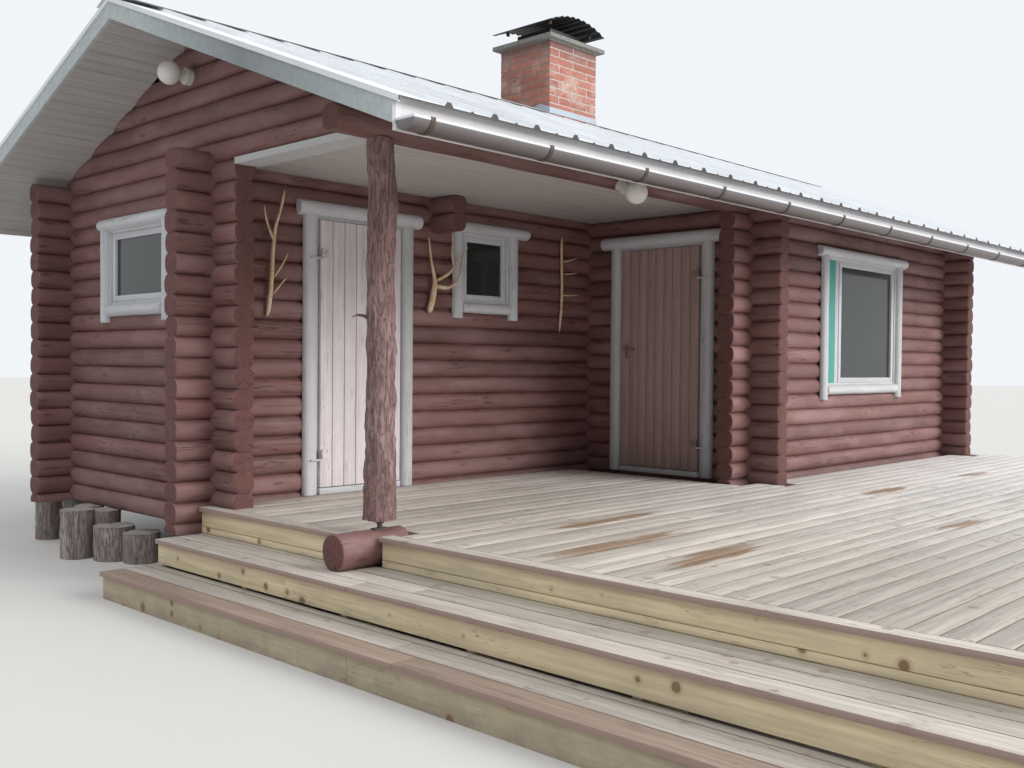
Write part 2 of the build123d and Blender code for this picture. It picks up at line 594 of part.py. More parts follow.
def roof_sheet(side):
    """One slope's sheet, pushed from the ridge down to the eaves: side is -1 in front and 1 behind."""
    outline = [(x, RIDGE_Y, RIDGE_Z + z) for x, z in sheet_outline()]
    face = make_face(Polyline(*outline, close=True))
    length = EAVE_RUN * math.hypot(1, ROOF_SLOPE)
    return extrude(face, amount=length, dir=(0, side, -ROOF_SLOPE)) - shaft


save("front_roof_sheet", roof_sheet(-1))
save("back_roof_sheet", roof_sheet(1))
cap_ends = (RIDGE_Y - RIDGE_CAP_WIDTH, RIDGE_Y, RIDGE_Y + RIDGE_CAP_WIDTH)
save("ridge_cap", roof_chevron(RIDGE_CAP_WIDTH, 0, -RIDGE_CAP_THICKNESS, SHEET_LEFT_X, CHIMNEY_X),
     roof_chevron(RIDGE_CAP_WIDTH, 0, -RIDGE_CAP_THICKNESS, CHIMNEY_RIGHT, SHEET_RIGHT_X))

# Gutter along the front eaves, closed at its ends, with straps
gutter_z = fascia_top - GUTTER_DROP
gutter_y = RIDGE_Y - fascia_out - GUTTER_RADIUS
outer = Rot(0, 90, 0) * Cylinder(GUTTER_RADIUS, ROOF_RIGHT - ROOF_LEFT)
inner = Rot(0, 90, 0) * Cylinder(GUTTER_RADIUS - GUTTER_WALL, ROOF_RIGHT - ROOF_LEFT - 2 * GUTTER_WALL)
mid_x = (ROOF_LEFT + ROOF_RIGHT) / 2
above = block(ROOF_LEFT, ROOF_RIGHT, gutter_y - GUTTER_RADIUS, gutter_y + GUTTER_RADIUS, gutter_z,
              gutter_z + GUTTER_RADIUS)
save("gutter", Pos(mid_x, gutter_y, gutter_z) * (outer - inner) - above)
strap_run = ROOF_RIGHT - ROOF_LEFT - 2 * STRAP_END
straps = round(strap_run / STRAP_PITCH) + 1
strap_step = strap_run / (straps - 1)
strap_ring = Cylinder(GUTTER_RADIUS + STRAP_THICKNESS, STRAP_WIDTH) - Cylinder(GUTTER_RADIUS, STRAP_WIDTH)
strap_arc = Pos(0, gutter_y, gutter_z) * Rot(0, 90, 0) * strap_ring
strap_front = block(-STRAP_WIDTH, STRAP_WIDTH, gutter_y - 2 * GUTTER_RADIUS,
                    gutter_y + GUTTER_RADIUS * STRAP_BACK, gutter_z - 2 * GUTTER_RADIUS, gutter_z)
strap_tie = block(-STRAP_WIDTH / 2, STRAP_WIDTH / 2, gutter_y - GUTTER_RADIUS - STRAP_THICKNESS,
                  gutter_y + GUTTER_RADIUS, gutter_z, gutter_z + STRAP_THICKNESS)
strap = (strap_arc & strap_front) + strap_tie
save("gutter_straps", *[Pos(ROOF_LEFT + STRAP_END + n * strap_step, 0, 0) * strap for n in range(straps)])

# Chimney with two flues, slab, collar of bricks on the slab, arched rain cap on the collar, and flashing
shaft_mid_x = (CHIMNEY_X + CHIMNEY_RIGHT) / 2
shaft_mid_y = (CHIMNEY_Y + CHIMNEY_BACK) / 2
slab_top = CHIMNEY_TOP + SLAB_THICKNESS
collar_top = slab_top + COLLAR_HEIGHT
flues = [block(shaft_mid_x + s * FLUE - FLUE / 2, shaft_mid_x + s * FLUE + FLUE / 2, shaft_mid_y - FLUE / 2,
               shaft_mid_y + FLUE / 2, FLOOR_Z + COURSE, collar_top + 1) for s in FLUE_PLACES]
half_collar_x = COLLAR_WIDTH / 2
half_collar_y = COLLAR_LENGTH / 2
collar = block(shaft_mid_x - half_collar_x, shaft_mid_x + half_collar_x, shaft_mid_y - half_collar_y,
               shaft_mid_y + half_collar_y, slab_top, collar_top)
save("chimney", shaft - flues[0] - flues[1], collar - flues[0] - flues[1])
slab = block(CHIMNEY_X - SLAB_OVERHANG, CHIMNEY_RIGHT + SLAB_OVERHANG, CHIMNEY_Y - SLAB_OVERHANG,
             CHIMNEY_BACK + SLAB_OVERHANG, CHIMNEY_TOP, slab_top)
save("chimney_slab", slab - flues[0] - flues[1])
cap_low = slab_top + RAIN_CAP_GAP
cap_x0 = CHIMNEY_X - SLAB_OVERHANG
cap_x1 = CHIMNEY_RIGHT + SLAB_OVERHANG


def cap_arc(drop):
    """Arch of the rain cap across the chimney."""
    return ThreePointArc((cap_x0, 0, cap_low - drop), (shaft_mid_x, 0, cap_low + RAIN_CAP_RISE - drop),
                         (cap_x1, 0, cap_low - drop))


upper_arc = cap_arc(0)
lower_arc = cap_arc(RAIN_CAP_THICKNESS)
cap_face = make_face([upper_arc, lower_arc, Line(upper_arc @ 0, lower_arc @ 0),
                      Line(upper_arc @ 1, lower_arc @ 1)])
arch = extrude(cap_face, amount=CHIMNEY_LENGTH + 2 * SLAB_OVERHANG, dir=(0, 1, 0))
arch = Pos(0, CHIMNEY_Y - SLAB_OVERHANG, 0) * arch
leg_top = cap_low + RAIN_CAP_RISE
half_cap_leg = CAP_LEG / 2
legs = [block(x - half_cap_leg, x + half_cap_leg, y - half_cap_leg, y + half_cap_leg, collar_top, leg_top)
        for x in (shaft_mid_x - half_collar_x + CAP_LEG, shaft_mid_x + half_collar_x - CAP_LEG)
        for y in (shaft_mid_y - half_collar_y + CAP_LEG, shaft_mid_y + half_collar_y - CAP_LEG)]
arch_void = make_face([upper_arc, Line(upper_arc @ 0, upper_arc @ 0 + Vector(0, 0, 2 * RAIN_CAP_RISE)),
                       Line(upper_arc @ 0 + Vector(0, 0, 2 * RAIN_CAP_RISE),
                            upper_arc @ 1 + Vector(0, 0, 2 * RAIN_CAP_RISE)),
                       Line(upper_arc @ 1, upper_arc @ 1 + Vector(0, 0, 2 * RAIN_CAP_RISE))])
over_arch = extrude(arch_void, amount=CHIMNEY_LENGTH + 2 * SLAB_OVERHANG, dir=(0, 1, 0))
over_arch = Pos(0, CHIMNEY_Y - SLAB_OVERHANG, 0) * over_arch
for leg in legs:
    arch += leg - over_arch
save("rain_cap", arch)
apron_x0 = CHIMNEY_X - FLASHING_THICKNESS
apron_x1 = CHIMNEY_RIGHT + FLASHING_THICKNESS
apron = roof_chevron(EAVE_RUN, 0, -FLASHING_HEIGHT, apron_x0, apron_x1)
apron &= block(apron_x0, apron_x1, CHIMNEY_Y - FLASHING_THICKNESS, CHIMNEY_BACK + FLASHING_THICKNESS,
               0, CHIMNEY_TOP)
cap_band = roof_chevron(RIDGE_CAP_WIDTH, 0, -RIDGE_CAP_THICKNESS, SHEET_LEFT_X, SHEET_RIGHT_X)
save("chimney_flashing", apron - shaft - cap_band)


# Joinery, drawn as seen from outside: x to the right, y into the wall from its centre, z up

def half_round(width, depth):
    """Outline of a half log of a given width, standing out from a wall's face."""
    steps = 4
    return [(-width / 2 * math.cos(math.pi * n / steps), -depth * math.sin(math.pi * n / steps))
            for n in range(steps + 1)]


def upright(x, width, z0, z1):
    """Standing half log on the wall's face."""
    points = [(x + a, b - LOG_HALF, z0) for a, b in half_round(width, CASING_DEPTH)]
    return extrude(make_face(Polyline(*points, close=True)), amount=z1 - z0, dir=(0, 0, 1))


def lying(x0, x1, z, width):
    """Lying half log on the wall's face, centred at height z."""
    return prism_x([(b - LOG_HALF, z + a) for a, b in half_round(width, CASING_DEPTH)], x0, x1)


def ring(x0, x1, z0, z1, y0, y1, thickness):
    """Rectangular frame with its outer edges given."""
    hole = block(x0 + thickness, x1 - thickness, y0 - 1, y1 + 1, z0 + thickness, z1 - thickness)
    return block(x0, x1, y0, y1, z0, z1) - hole


SASH_FRONT = -LOG_HALF + SASH_SETBACK
SASH_BACK = SASH_FRONT + SASH_DEPTH
GLASS_Y = (SASH_FRONT + SASH_BACK) / 2


def window_frame(x0, x1, z0, z1, header_left, header_right):
    """Lining, sash and half log casings round an opening."""
    frame = ring(x0, x1, z0, z1, -LOG_HALF, LOG_HALF, LINING)
    frame += ring(x0 + LINING, x1 - LINING, z0 + LINING, z1 - LINING, SASH_FRONT, SASH_BACK, SASH)
    lap = LINING_LAP
    out = WINDOW_CASING / 2 - lap
    casing_foot = z0 - WINDOW_SILL - CASING_TAIL + lap
    for x in (x0 - out, x1 + out):
        frame += upright(x, WINDOW_CASING, casing_foot, z1 - lap + WINDOW_HEADER / 2)
    frame += lying(x0 - out, x1 + out, z0 + lap - WINDOW_SILL / 2, WINDOW_SILL)
    frame += lying(header_left, header_right, z1 - lap + WINDOW_HEADER / 2, WINDOW_HEADER)
    return frame


def pane(x0, x1, z0, z1):
    """Sheet of glass in its sash."""
    edge = LINING + SASH
    return block(x0 + edge, x1 - edge, GLASS_Y - GLASS / 2, GLASS_Y + GLASS / 2, z0 + edge, z1 - edge)


def on_front(shape, y):
    """Put joinery in a wall that faces -Y."""
    return Pos(0, y, 0) * shape


def on_left(shape, x):
    """Put joinery in a wall that faces -X: what is at x to the right goes to Y -x."""
    return Pos(x, 0, 0) * Rot(0, 0, -90) * shape


g0, g1, sill, head = GABLE_OPENING
casing_out = WINDOW_CASING - LINING_LAP
gable_reach = casing_out + GABLE_HEADER_OUT
gable_frame = window_frame(-g1, -g0, sill, head, -g1 - gable_reach, -g0 + gable_reach)
save("gable_window_frame", on_left(gable_frame, 0))
s0, s1, sill, head = SMALL_OPENING
small_frame = window_frame(s0, s1, sill, head, TIE_X + LOG_HALF, s1 + casing_out + SMALL_HEADER_OUT)
save("small_window_frame", on_front(small_frame, 0))
w0, w1, sill, head = FRONT_OPENING
front_frame = window_frame(w0, w1, sill, head, w0 - casing_out - FRONT_HEADER_OUT[0],
                           w1 + casing_out + FRONT_HEADER_OUT[1])
vent_x = w0 + LINING + VENT_WIDTH
bar = block(vent_x, vent_x + MULLION, -LOG_HALF, LOG_HALF, sill + LINING, head - LINING)
sash_left = block(vent_x + MULLION, vent_x + MULLION + SASH, SASH_FRONT, SASH_BACK, sill + LINING,
                  head - LINING)
vent_void = block(w0 + LINING, vent_x, -LOG_HALF, LOG_HALF, sill + LINING, head - LINING)
front_frame = front_frame - vent_void + bar + sash_left
save("front_window_frame", on_front(front_frame, FRONT_Y))
edge = LINING + SASH
front_pane = block(vent_x + MULLION + SASH, w1 - edge, GLASS_Y - GLASS / 2, GLASS_Y + GLASS / 2, sill + edge,
                   head - edge)
save("window_glass", on_left(pane(-g1, -g0, *GABLE_OPENING[2:]), 0), on_front(pane(*SMALL_OPENING), 0),
     on_front(front_pane, FRONT_Y))
vent = block(w0 + LINING, vent_x, SASH_FRONT, SASH_FRONT + VENT_THICKNESS, sill + LINING, head - LINING)
save("vent_screen", on_front(vent, FRONT_Y))

# Doors, hinged on the left as seen from outside; x 0 is the hinge-side edge of the clear opening
CASING_FACE = -LOG_HALF - CASING_DEPTH
LEAF_FRONT = CASING_FACE + LEAF_SETBACK
LEAF_BACK = LEAF_FRONT + LEAF_THICKNESS
PIN_Y = CASING_FACE - KNUCKLE_OUT
LEAF_FOOT = DECK_Z + THRESHOLD + HEAD_GAP


def hinge_heights(height):
    """Heights of a leaf's two hinges."""
    return LEAF_FOOT + HINGE_INSET, LEAF_FOOT + height - HINGE_INSET


def door_frame(clear, height, header_out):
    """Lining, stops, threshold, casings and the hinge pins on their plates."""
    under = LEAF_FOOT + height + HEAD_GAP
    top = under + LINING
    frame = block(-LINING, 0, -LOG_HALF, LOG_HALF, DECK_Z, top)
    frame += block(clear, clear + LINING, -LOG_HALF, LOG_HALF, DECK_Z, top)
    frame += block(-LINING, clear + LINING, -LOG_HALF, LOG_HALF, under, top)
    frame += block(0, clear, -LOG_HALF - THRESHOLD_OUT, LOG_HALF, DECK_Z, DECK_Z + THRESHOLD)
    stop_face = LEAF_BACK + STOP_GAP
    stop_foot = DECK_Z + THRESHOLD
    for x0, x1 in ((0, STOP + HINGE_GAP), (clear - STOP - FREE_GAP, clear)):
        frame += block(x0, x1, stop_face, LOG_HALF, stop_foot, under)
    frame += block(0, clear, stop_face, LOG_HALF, under - STOP - HEAD_GAP, under)
    left = -LINING_LAP - HINGE_CASING_SHIFT - DOOR_CASING / 2
    right = clear + LINING_LAP + DOOR_CASING / 2
    casing_top = under + LINING / 2
    for x in (left, right):
        frame += upright(x, DOOR_CASING, DECK_Z, casing_top + DOOR_HEADER / 2)
    frame += lying(left - DOOR_CASING / 2 - header_out[0], right + DOOR_CASING / 2 + header_out[1],
                   casing_top + DOOR_HEADER / 2, DOOR_HEADER)
    for z in hinge_heights(height):
        low = z - HINGE_HALF - HINGE_PLATE
        high = z - HINGE_HALF
        plate_end = -BARREL_R - HINGE_PLATE_CLEARANCE
        plate = block(left - HINGE_PLATE_REACH, plate_end, CASING_FACE - HINGE_PLATE,
                      -LOG_HALF - HINGE_PLATE_SEAT, low, high)
        plate += block(plate_end - HINGE_PLATE_LAP, PIN_R, PIN_Y - PIN_R, PIN_Y + PIN_R, low, high)
        pin_length = 2 * HINGE_HALF + 2 * PIN_R
        pin = Pos(0, PIN_Y, z - HINGE_PLATE_LAP) * Cylinder(PIN_R, pin_length)
        frame += plate + pin
    return frame


def door_leaf(clear, height):
    """Plain boarded leaf."""
    return block(HINGE_GAP, clear - FREE_GAP, LEAF_FRONT, LEAF_BACK, LEAF_FOOT, LEAF_FOOT + height)


def door_fittings(clear, height):
    """Hinge straps with their barrels, and the handle on both faces."""
    parts = []
    for z in hinge_heights(height):
        strap_low = z - HINGE_HALF + 0.5
        strap_high = z + HINGE_HALF
        body = block(HINGE_GAP, HINGE_GAP + STRAP_LEAF, LEAF_FRONT - LEAF_STRAP_THICKNESS, LEAF_FRONT,
                     strap_low, strap_high)
        body += block(HINGE_GAP / 2, HINGE_GAP + BARREL_R, PIN_Y + HINGE_GAP / 2, LEAF_FRONT,
                      strap_low, strap_high)
        body += Pos(0, PIN_Y, (strap_low + strap_high) / 2) * Cylinder(BARREL_R, strap_high - strap_low)
        body -= Pos(0, PIN_Y, z) * Cylinder(PIN_R + PIN_CLEARANCE, 4 * HINGE_HALF)
        parts.append(body)
    x = clear - FREE_GAP - HANDLE_INSET
    z = LEAF_FOOT + HANDLE_HEIGHT
    for face, side in ((LEAF_FRONT, -1), (LEAF_BACK, 1)):
        near, far = sorted((face, face + side * ROSE_THICKNESS))
        rose = block(x - ROSE_HALF, x + ROSE_HALF, near, far, z - ROSE_DROP, z + ROSE_RISE)
        near, far = sorted((face, face + side * GRIP_OUT))
        neck = block(x - NECK_HALF, x + NECK_HALF, near, far, z - NECK_HALF, z + NECK_HALF)
        near, far = sorted((face + side * (GRIP_OUT - GRIP_THICKNESS), face + side * GRIP_OUT))
        grip = block(x - GRIP_LENGTH, x + NECK_HALF, near, far, z - GRIP_HALF, z + GRIP_HALF)
        parts.append(rose + neck + grip)
    return parts


def shown(shape):
    """Left-hand door in the porch's back wall."""
    return Pos(LEFT_DOOR_X, 0, 0) * shape


def mirrored(shape):
    """Right-hand door in the porch's side wall, hinged on its right."""
    flipped = mirror(shape, about=Plane.YZ)
    return on_left(Pos(-RIGHT_DOOR_Y + RIGHT_DOOR_CLEAR, 0, 0) * flipped, SIDE_X)


save("left_door_frame", shown(door_frame(LEFT_DOOR_CLEAR, LEFT_DOOR_HEIGHT, LEFT_HEADER_OUT)))
save("left_door", shown(door_leaf(LEFT_DOOR_CLEAR, LEFT_DOOR_HEIGHT)))
save("left_door_fittings", *[shown(p) for p in door_fittings(LEFT_DOOR_CLEAR, LEFT_DOOR_HEIGHT)])
save("right_door_frame", mirrored(door_frame(RIGHT_DOOR_CLEAR, RIGHT_DOOR_HEIGHT, RIGHT_HEADER_OUT)))
save("right_door", mirrored(door_leaf(RIGHT_DOOR_CLEAR, RIGHT_DOOR_HEIGHT)))
save("right_door_fittings", *[mirrored(p) for p in door_fittings(RIGHT_DOOR_CLEAR, RIGHT_DOOR_HEIGHT)])


# Globe lamps: base and neck on the wall, globe in front, drawn along -Y from the wall's face

def lamp_base():
    """Round base with its neck."""
    from_wall = (Align.CENTER, Align.CENTER, Align.MIN)
    base = Rot(90, 0, 0) * Cylinder(LAMP_BASE_R, LAMP_BASE_DEPTH, align=from_wall)
    neck_reach = LAMP_REACH - math.sqrt(GLOBE_R ** 2 - LAMP_NECK_R ** 2)
    neck = Rot(90, 0, 0) * Cylinder(LAMP_NECK_R, neck_reach, align=from_wall)
    return base + neck - globe()


def globe():
    """Glass globe."""
    return Pos(0, -LAMP_REACH, 0) * Sphere(GLOBE_R)


def gable_lamp(shape):
    """Lamp on the left gable, on the log under the ridge."""
    return Pos(-LOG_HALF, RIDGE_Y, WALL_TOP + GABLE_LAMP_COURSES * COURSE) * Rot(0, 0, -90) * shape


def porch_lamp(shape):
    """Lamp on the eaves log over the porch, tilted down."""
    place = Pos(PORCH_LAMP_X, FRONT_Y - LOG_HALF + PORCH_LAMP_INSET, PLATE_BASE + PORCH_LAMP_RISE)
    return place * Rot(PORCH_LAMP_TILT, 0, 0) * shape


eaves_round = logs_x(PORCH_LAMP_X - LAMP_REACH, PORCH_LAMP_X + LAMP_REACH, PLATE_BASE, PLATE_TOP, FRONT_Y)
save("lamp_bases", gable_lamp(lamp_base()), porch_lamp(lamp_base()) - eaves_round)
save("lamp_globes", gable_lamp(globe()), porch_lamp(globe()) - eaves_round)
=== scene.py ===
import math
import random

import bpy
import numpy as np
from bpy.props import FloatProperty, FloatVectorProperty, IntProperty, PointerProperty
from mathutils import Matrix, Vector


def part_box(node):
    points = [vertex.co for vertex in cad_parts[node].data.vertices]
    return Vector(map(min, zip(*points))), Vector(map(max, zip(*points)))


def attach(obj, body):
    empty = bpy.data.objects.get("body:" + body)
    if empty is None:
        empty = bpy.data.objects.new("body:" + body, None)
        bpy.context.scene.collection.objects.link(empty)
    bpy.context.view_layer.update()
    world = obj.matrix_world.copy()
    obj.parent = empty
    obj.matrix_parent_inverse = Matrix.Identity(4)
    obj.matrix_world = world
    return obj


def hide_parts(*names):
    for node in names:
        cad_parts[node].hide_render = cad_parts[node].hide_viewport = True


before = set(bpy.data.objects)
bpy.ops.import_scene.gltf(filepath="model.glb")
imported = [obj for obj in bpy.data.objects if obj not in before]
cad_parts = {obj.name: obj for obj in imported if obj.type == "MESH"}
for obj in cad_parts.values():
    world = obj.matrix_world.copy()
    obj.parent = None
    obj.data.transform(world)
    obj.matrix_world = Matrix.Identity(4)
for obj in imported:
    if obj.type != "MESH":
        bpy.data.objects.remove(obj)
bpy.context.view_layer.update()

bl_info = {
    "name": "Log Cabin Builder",
    "version": (1, 0, 0),
    "blender": (4, 5, 0),
    "location": "View3D > Sidebar > Cabin",
    "description": "Logs, boards, bricks and finishes of a log cabin with a corner porch and a terrace",
    "category": "Object",
}

CABIN = "cabin"
LEFT_LEAF = "left_leaf"
RIGHT_LEAF = "right_leaf"


# Places read from the frame: the left gable's centre plane and the porch's back wall

def middle(node, axis):
    """Middle of a node's box along an axis."""
    low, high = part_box(node)
    return (low[axis] + high[axis]) / 2


HOUSE = Vector((middle("gable_wall", 0), middle("recess_wall", 1), 0.0))


def at(x, y, z):
    """Point counted from the left gable's centre, the porch's back wall and the ground."""
    return HOUSE + Vector((x, y, z))


def span(node):
    """Box of a node in the same count: two corners as plain tuples."""
    low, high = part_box(node)
    return tuple(low - HOUSE), tuple(high - HOUSE)


def centre_of(node, axis):
    """Middle of a node's box along an axis, in the same count."""
    return middle(node, axis) - HOUSE[axis]


FRONT_Y = centre_of("eaves_log", 1)
BACK_Y = centre_of("back_wall", 1)
SIDE_X = centre_of("side_wall", 0)
RIGHT_X = centre_of("right_gable_wall", 0)
RIDGE_Y = centre_of("ridge_cap", 1)
UNDER_RIDGE = span("left_gable_top")[1][2]


# Settings

def metres(name, text, value):
    """Length that a user may set, in metres."""
    return FloatProperty(name=name, description=text, default=value, unit="LENGTH")


def tint(name, text, value):
    """Colour that a user may set."""
    return FloatVectorProperty(name=name, description=text, subtype="COLOR", size=3, default=value)


class LogSettings(bpy.types.PropertyGroup):
    """Sizes of the log walls."""
    course: metres("Course", "Height of one log course", 0.13)
    half_width: metres("Half width", "Half of a log's width", 0.075)
    half_height: metres("Half height", "Half of a log's height", 0.070)
    corner: metres("Corner", "Rounding of a wall log's corners", 0.056)
    corner_steps: IntProperty(name="Corner steps", description="Facets in a log's corner", default=4)
    ring_gap: metres("Ring gap", "Distance between a log's rings", 0.22)
    chamfer: metres("End chamfer", "Rounding at a log's end", 0.009)
    wobble: metres("Wobble", "How far a log's surface strays", 0.009)
    end_scatter: metres("End scatter", "How far log ends differ", 0.005)
    seed: IntProperty(name="Seed", description="Start of the random draws", default=7)


class BoardSettings(bpy.types.PropertyGroup):
    """Sizes of the boards."""
    deck_pitch: metres("Deck pitch", "Width of a terrace board with its gap", 0.123)
    gap: metres("Gap", "Gap between terrace boards", 0.007)
    edge: metres("Edge", "Rounding of board edges", 0.003)
    nose: metres("Nose board", "Width of the terrace's edge board", 0.098)
    ceiling_pitch: metres("Ceiling board", "Width of a ceiling board", 0.095)


class ColourSettings(bpy.types.PropertyGroup):
    """Main colours."""
    log: tint("Log stain", "Red-brown stain of the logs", (0.155, 0.060, 0.052))
    # Worn stain, also the painted highlight on each log's outer bulge.
    log_worn_and_highlit: tint("Worn log", "Stain where it is worn", (0.290, 0.165, 0.162))
    casing: tint("Casing", "Paint of the window and door casings", (0.62, 0.63, 0.66))
    left_door: tint("Left door", "Paint of the left door", (0.84, 0.77, 0.80))
    right_door: tint("Right door", "Paint of the right door", (0.46, 0.32, 0.30))
    pine: tint("Pine", "Yellowed pine of the risers", (0.94, 0.80, 0.53))
    deck: tint("Deck", "Weathered terrace boards", (0.70, 0.64, 0.57))
    roof: tint("Roof sheet", "Coating of the roof's sheets", (0.84, 0.87, 0.91))
    brick: tint("Brick", "Fired brick", (0.50, 0.20, 0.15))
    soffit: tint("Soffit", "Paint under the roof", (0.46, 0.44, 0.43))


def logs():
    return bpy.context.scene.cabin_logs


def boards():
    return bpy.context.scene.cabin_boards


def colours():
    return bpy.context.scene.cabin_colours


# Shader helpers

class Value:
    """Output of a shader node; arithmetic on it adds the nodes that do the sum."""

    def __init__(self, tree, socket):
        self.tree = tree
        self.socket = socket

    def calc(self, operation, first, second=0.0, clamp=False):
        return put(self.tree, "ShaderNodeMath", {0: first, 1: second}, operation=operation,
                   use_clamp=clamp)[0]

    def __add__(self, other):
        return self.calc("ADD", self, other)

    def __sub__(self, other):
        return self.calc("SUBTRACT", self, other)

    def __mul__(self, other):
        return self.calc("MULTIPLY", self, other)

    def __truediv__(self, other):
        return self.calc("DIVIDE", self, other)

    def __abs__(self):
        return self.calc("ABSOLUTE", self)

    def do(self, operation, other=0.0):
        """Any other step of arithmetic."""
        return self.calc(operation, self, other)

    def band(self, low, high, out_low=0.0, out_high=1.0):
        """Stretch between two limits."""
        return put(self.tree, "ShaderNodeMapRange", {"Value": self, "From Min": low, "From Max": high,
                                                     "To Min": out_low, "To Max": out_high}, clamp=True)[0]

    def part(self, axis):
        """One coordinate of a vector."""
        return put(self.tree, "ShaderNodeSeparateXYZ", {0: self})[axis]

    def vector(self, operation, other=None, output=0):
        """One step of vector arithmetic."""
        values = {0: self} if other is None else {0: self, 1: other}
        return put(self.tree, "ShaderNodeVectorMath", values, operation=operation)[output]

    def scaled(self, scale, location=(0.0, 0.0, 0.0)):
        """Vector squeezed and shifted for a stretched pattern."""
        return put(self.tree, "ShaderNodeMapping", {"Vector": self, "Scale": scale, "Location": location})[0]

    def noise(self, scale=1.0, detail=4.0, roughness=0.55, distortion=0.0):
        """Noise between 0 and 1."""
        values = {"Vector": self, "Scale": scale, "Detail": detail, "Roughness": roughness,
                  "Distortion": distortion}
        return put(self.tree, "ShaderNodeTexNoise", values)["Fac"]

    def crease(self, width):
        """Thin lines where a noise crosses its middle."""
        return abs(self - 0.5).band(0.0, width, 1.0, 0.0)


class Outputs:
    """Outputs of one node, by name or index."""

    def __init__(self, tree, node):
        self.tree = tree
        self.node = node

    def __getitem__(self, key):
        return Value(self.tree, self.node.outputs[key])


def feed(tree, node, values):
    """Link or set a node's inputs, by name or index."""
    for key, value in values.items():
        if isinstance(value, Value):
            tree.links.new(value.socket, node.inputs[key])
        else:
            node.inputs[key].default_value = value


def put(tree, kind, values=None, **settings):
    """Add a node: its inputs take Values or constants."""
    node = tree.nodes.new(kind)
    for key, value in settings.items():
        setattr(node, key, value)
    feed(tree, node, values or {})
    return Outputs(tree, node)


def combine(**parts):
    """Vector from its X, Y and Z, at least one of which is a Value."""
    tree = next(part.tree for part in parts.values() if isinstance(part, Value))
    return put(tree, "ShaderNodeCombineXYZ", parts)[0]


def mix(tree, factor, first, second, mode="MIX"):
    """Mix two colours."""
    first, second = (c if isinstance(c, Value) else (*c[:3], 1.0) for c in (first, second))
    return put(tree, "ShaderNodeMix", {0: factor, 6: first, 7: second}, data_type="RGBA", blend_type=mode)[2]


def darker(colour, factor):
    return tuple(c * factor for c in colour[:3])


GRAIN = 34.0
FIBRE = 320.0
KNOTS_PER_METRE = 4.0
KNOT_PULL = 0.02
KNOT_SIZE = 0.029


def grain_group(vector):
    """Timber seen along its grain: X runs along the wood, one unit is a metre."""
    warp = vector.scaled((1.2, 5.0, 5.0)).noise(1.0, 2.0)
    bent = vector.vector("ADD", combine(Y=warp * 0.03, Z=warp * 0.02))
    split = bent.scaled((2.2, 46.0, 46.0)).noise(1.0, 2.0, 0.5, 0.4)
    where = vector.scaled((1.1, 6.0, 6.0), (3.1, 0.4, 7.7)).noise(1.0, 1.0).band(0.52, 0.62)
    spots = put(vector.tree, "ShaderNodeTexVoronoi", {"Vector": bent.scaled((2.6, 9.0, 9.0)), "Scale": 1.0,
                                                      "Randomness": 1.0}, feature="F1")
    return {"Streaks": bent.scaled((1.6, GRAIN, GRAIN)).noise(1.0, 5.0, 0.6),
            "Fibres": bent.scaled((14.0, FIBRE, FIBRE)).noise(1.0, 3.0, 0.7),
            "Cracks": split.crease(0.016) * where,
            "Knots": spots["Distance"].band(0.07, 0.15, 1.0, 0.0),
            "Patches": vector.scaled((1.4, 4.5, 4.5), (9.0, 2.0, 5.0)).noise(1.0, 4.0)}


def board_group(vector):
    """Sawn board: X runs along it, Y and Z across; its grain bends round the knots."""
    along = vector.part("X")
    across = vector.part("Y") + vector.part("Z")
    flat = combine(X=along, Y=across)
    values = {"Vector": flat, "Scale": KNOTS_PER_METRE, "Randomness": 1.0}
    cells = put(vector.tree, "ShaderNodeTexVoronoi", values, voronoi_dimensions="2D", feature="F1")
    reach = cells["Distance"] / KNOTS_PER_METRE
    offset = (across - cells["Position"].part("Y")) / (reach + 0.01)
    fade = (reach * -25.0).do("EXPONENT")
    bent = combine(X=along, Y=across - offset * fade * KNOT_PULL)
    split = bent.scaled((2.2, 50.0, 1.0), (4.0, 1.0, 0.0)).noise(1.0, 2.0, 0.5, 0.4)
    size = put(vector.tree, "ShaderNodeSeparateColor", {0: cells["Color"]})[0] * KNOT_SIZE
    outside = reach + flat.noise(60.0, 2.0) * 0.006 - size
    return {"Streaks": bent.scaled((1.6, 38.0, 1.0)).noise(1.0, 5.0, 0.6),
            "Fibres": bent.scaled((14.0, 330.0, 1.0)).noise(1.0, 3.0, 0.7),
            "Cracks": split.crease(0.014) * flat.noise(2.5, 1.0).band(0.48, 0.6),
            "Knots": outside.band(-0.003, 0.002, 1.0, 0.0),
            "Halo": outside.band(0.0, 0.018, 1.0, 0.0),
            "Patches": flat.scaled((1.3, 4.5, 1.0), (9.0, 2.0, 0.0)).noise(1.0, 4.0)}


def weather_group(vector, height):
    """Dirt and bleaching over a surface, from its place on the object; splashes reach up to a height."""
    small = vector.noise(9.0, 4.0, 0.6)
    low = height.calc("SUBTRACT", 1.0, vector.part("Z") / height, True)
    return {"Dirt": vector.noise(1.3, 5.0, 0.6).band(0.42, 0.72), "Mottle": small.band(0.3, 0.7),
            "Splash": low * small.band(0.3, 0.6)}


def rough_group(vector):
    """Fine roughness of metal, stone and plastic."""
    return {"Grit": vector.noise(160.0, 4.0, 0.6), "Pits": vector.noise(42.0, 3.0).band(0.56, 0.66),
            "Smears": vector.scaled((3.0, 3.0, 0.8)).noise(1.0, 5.0)}


GROUPS = {}
GROUP_MAKERS = {"Timber Grain": grain_group, "Board Grain": board_group, "Weather": weather_group,
                "Fine Surface": rough_group}


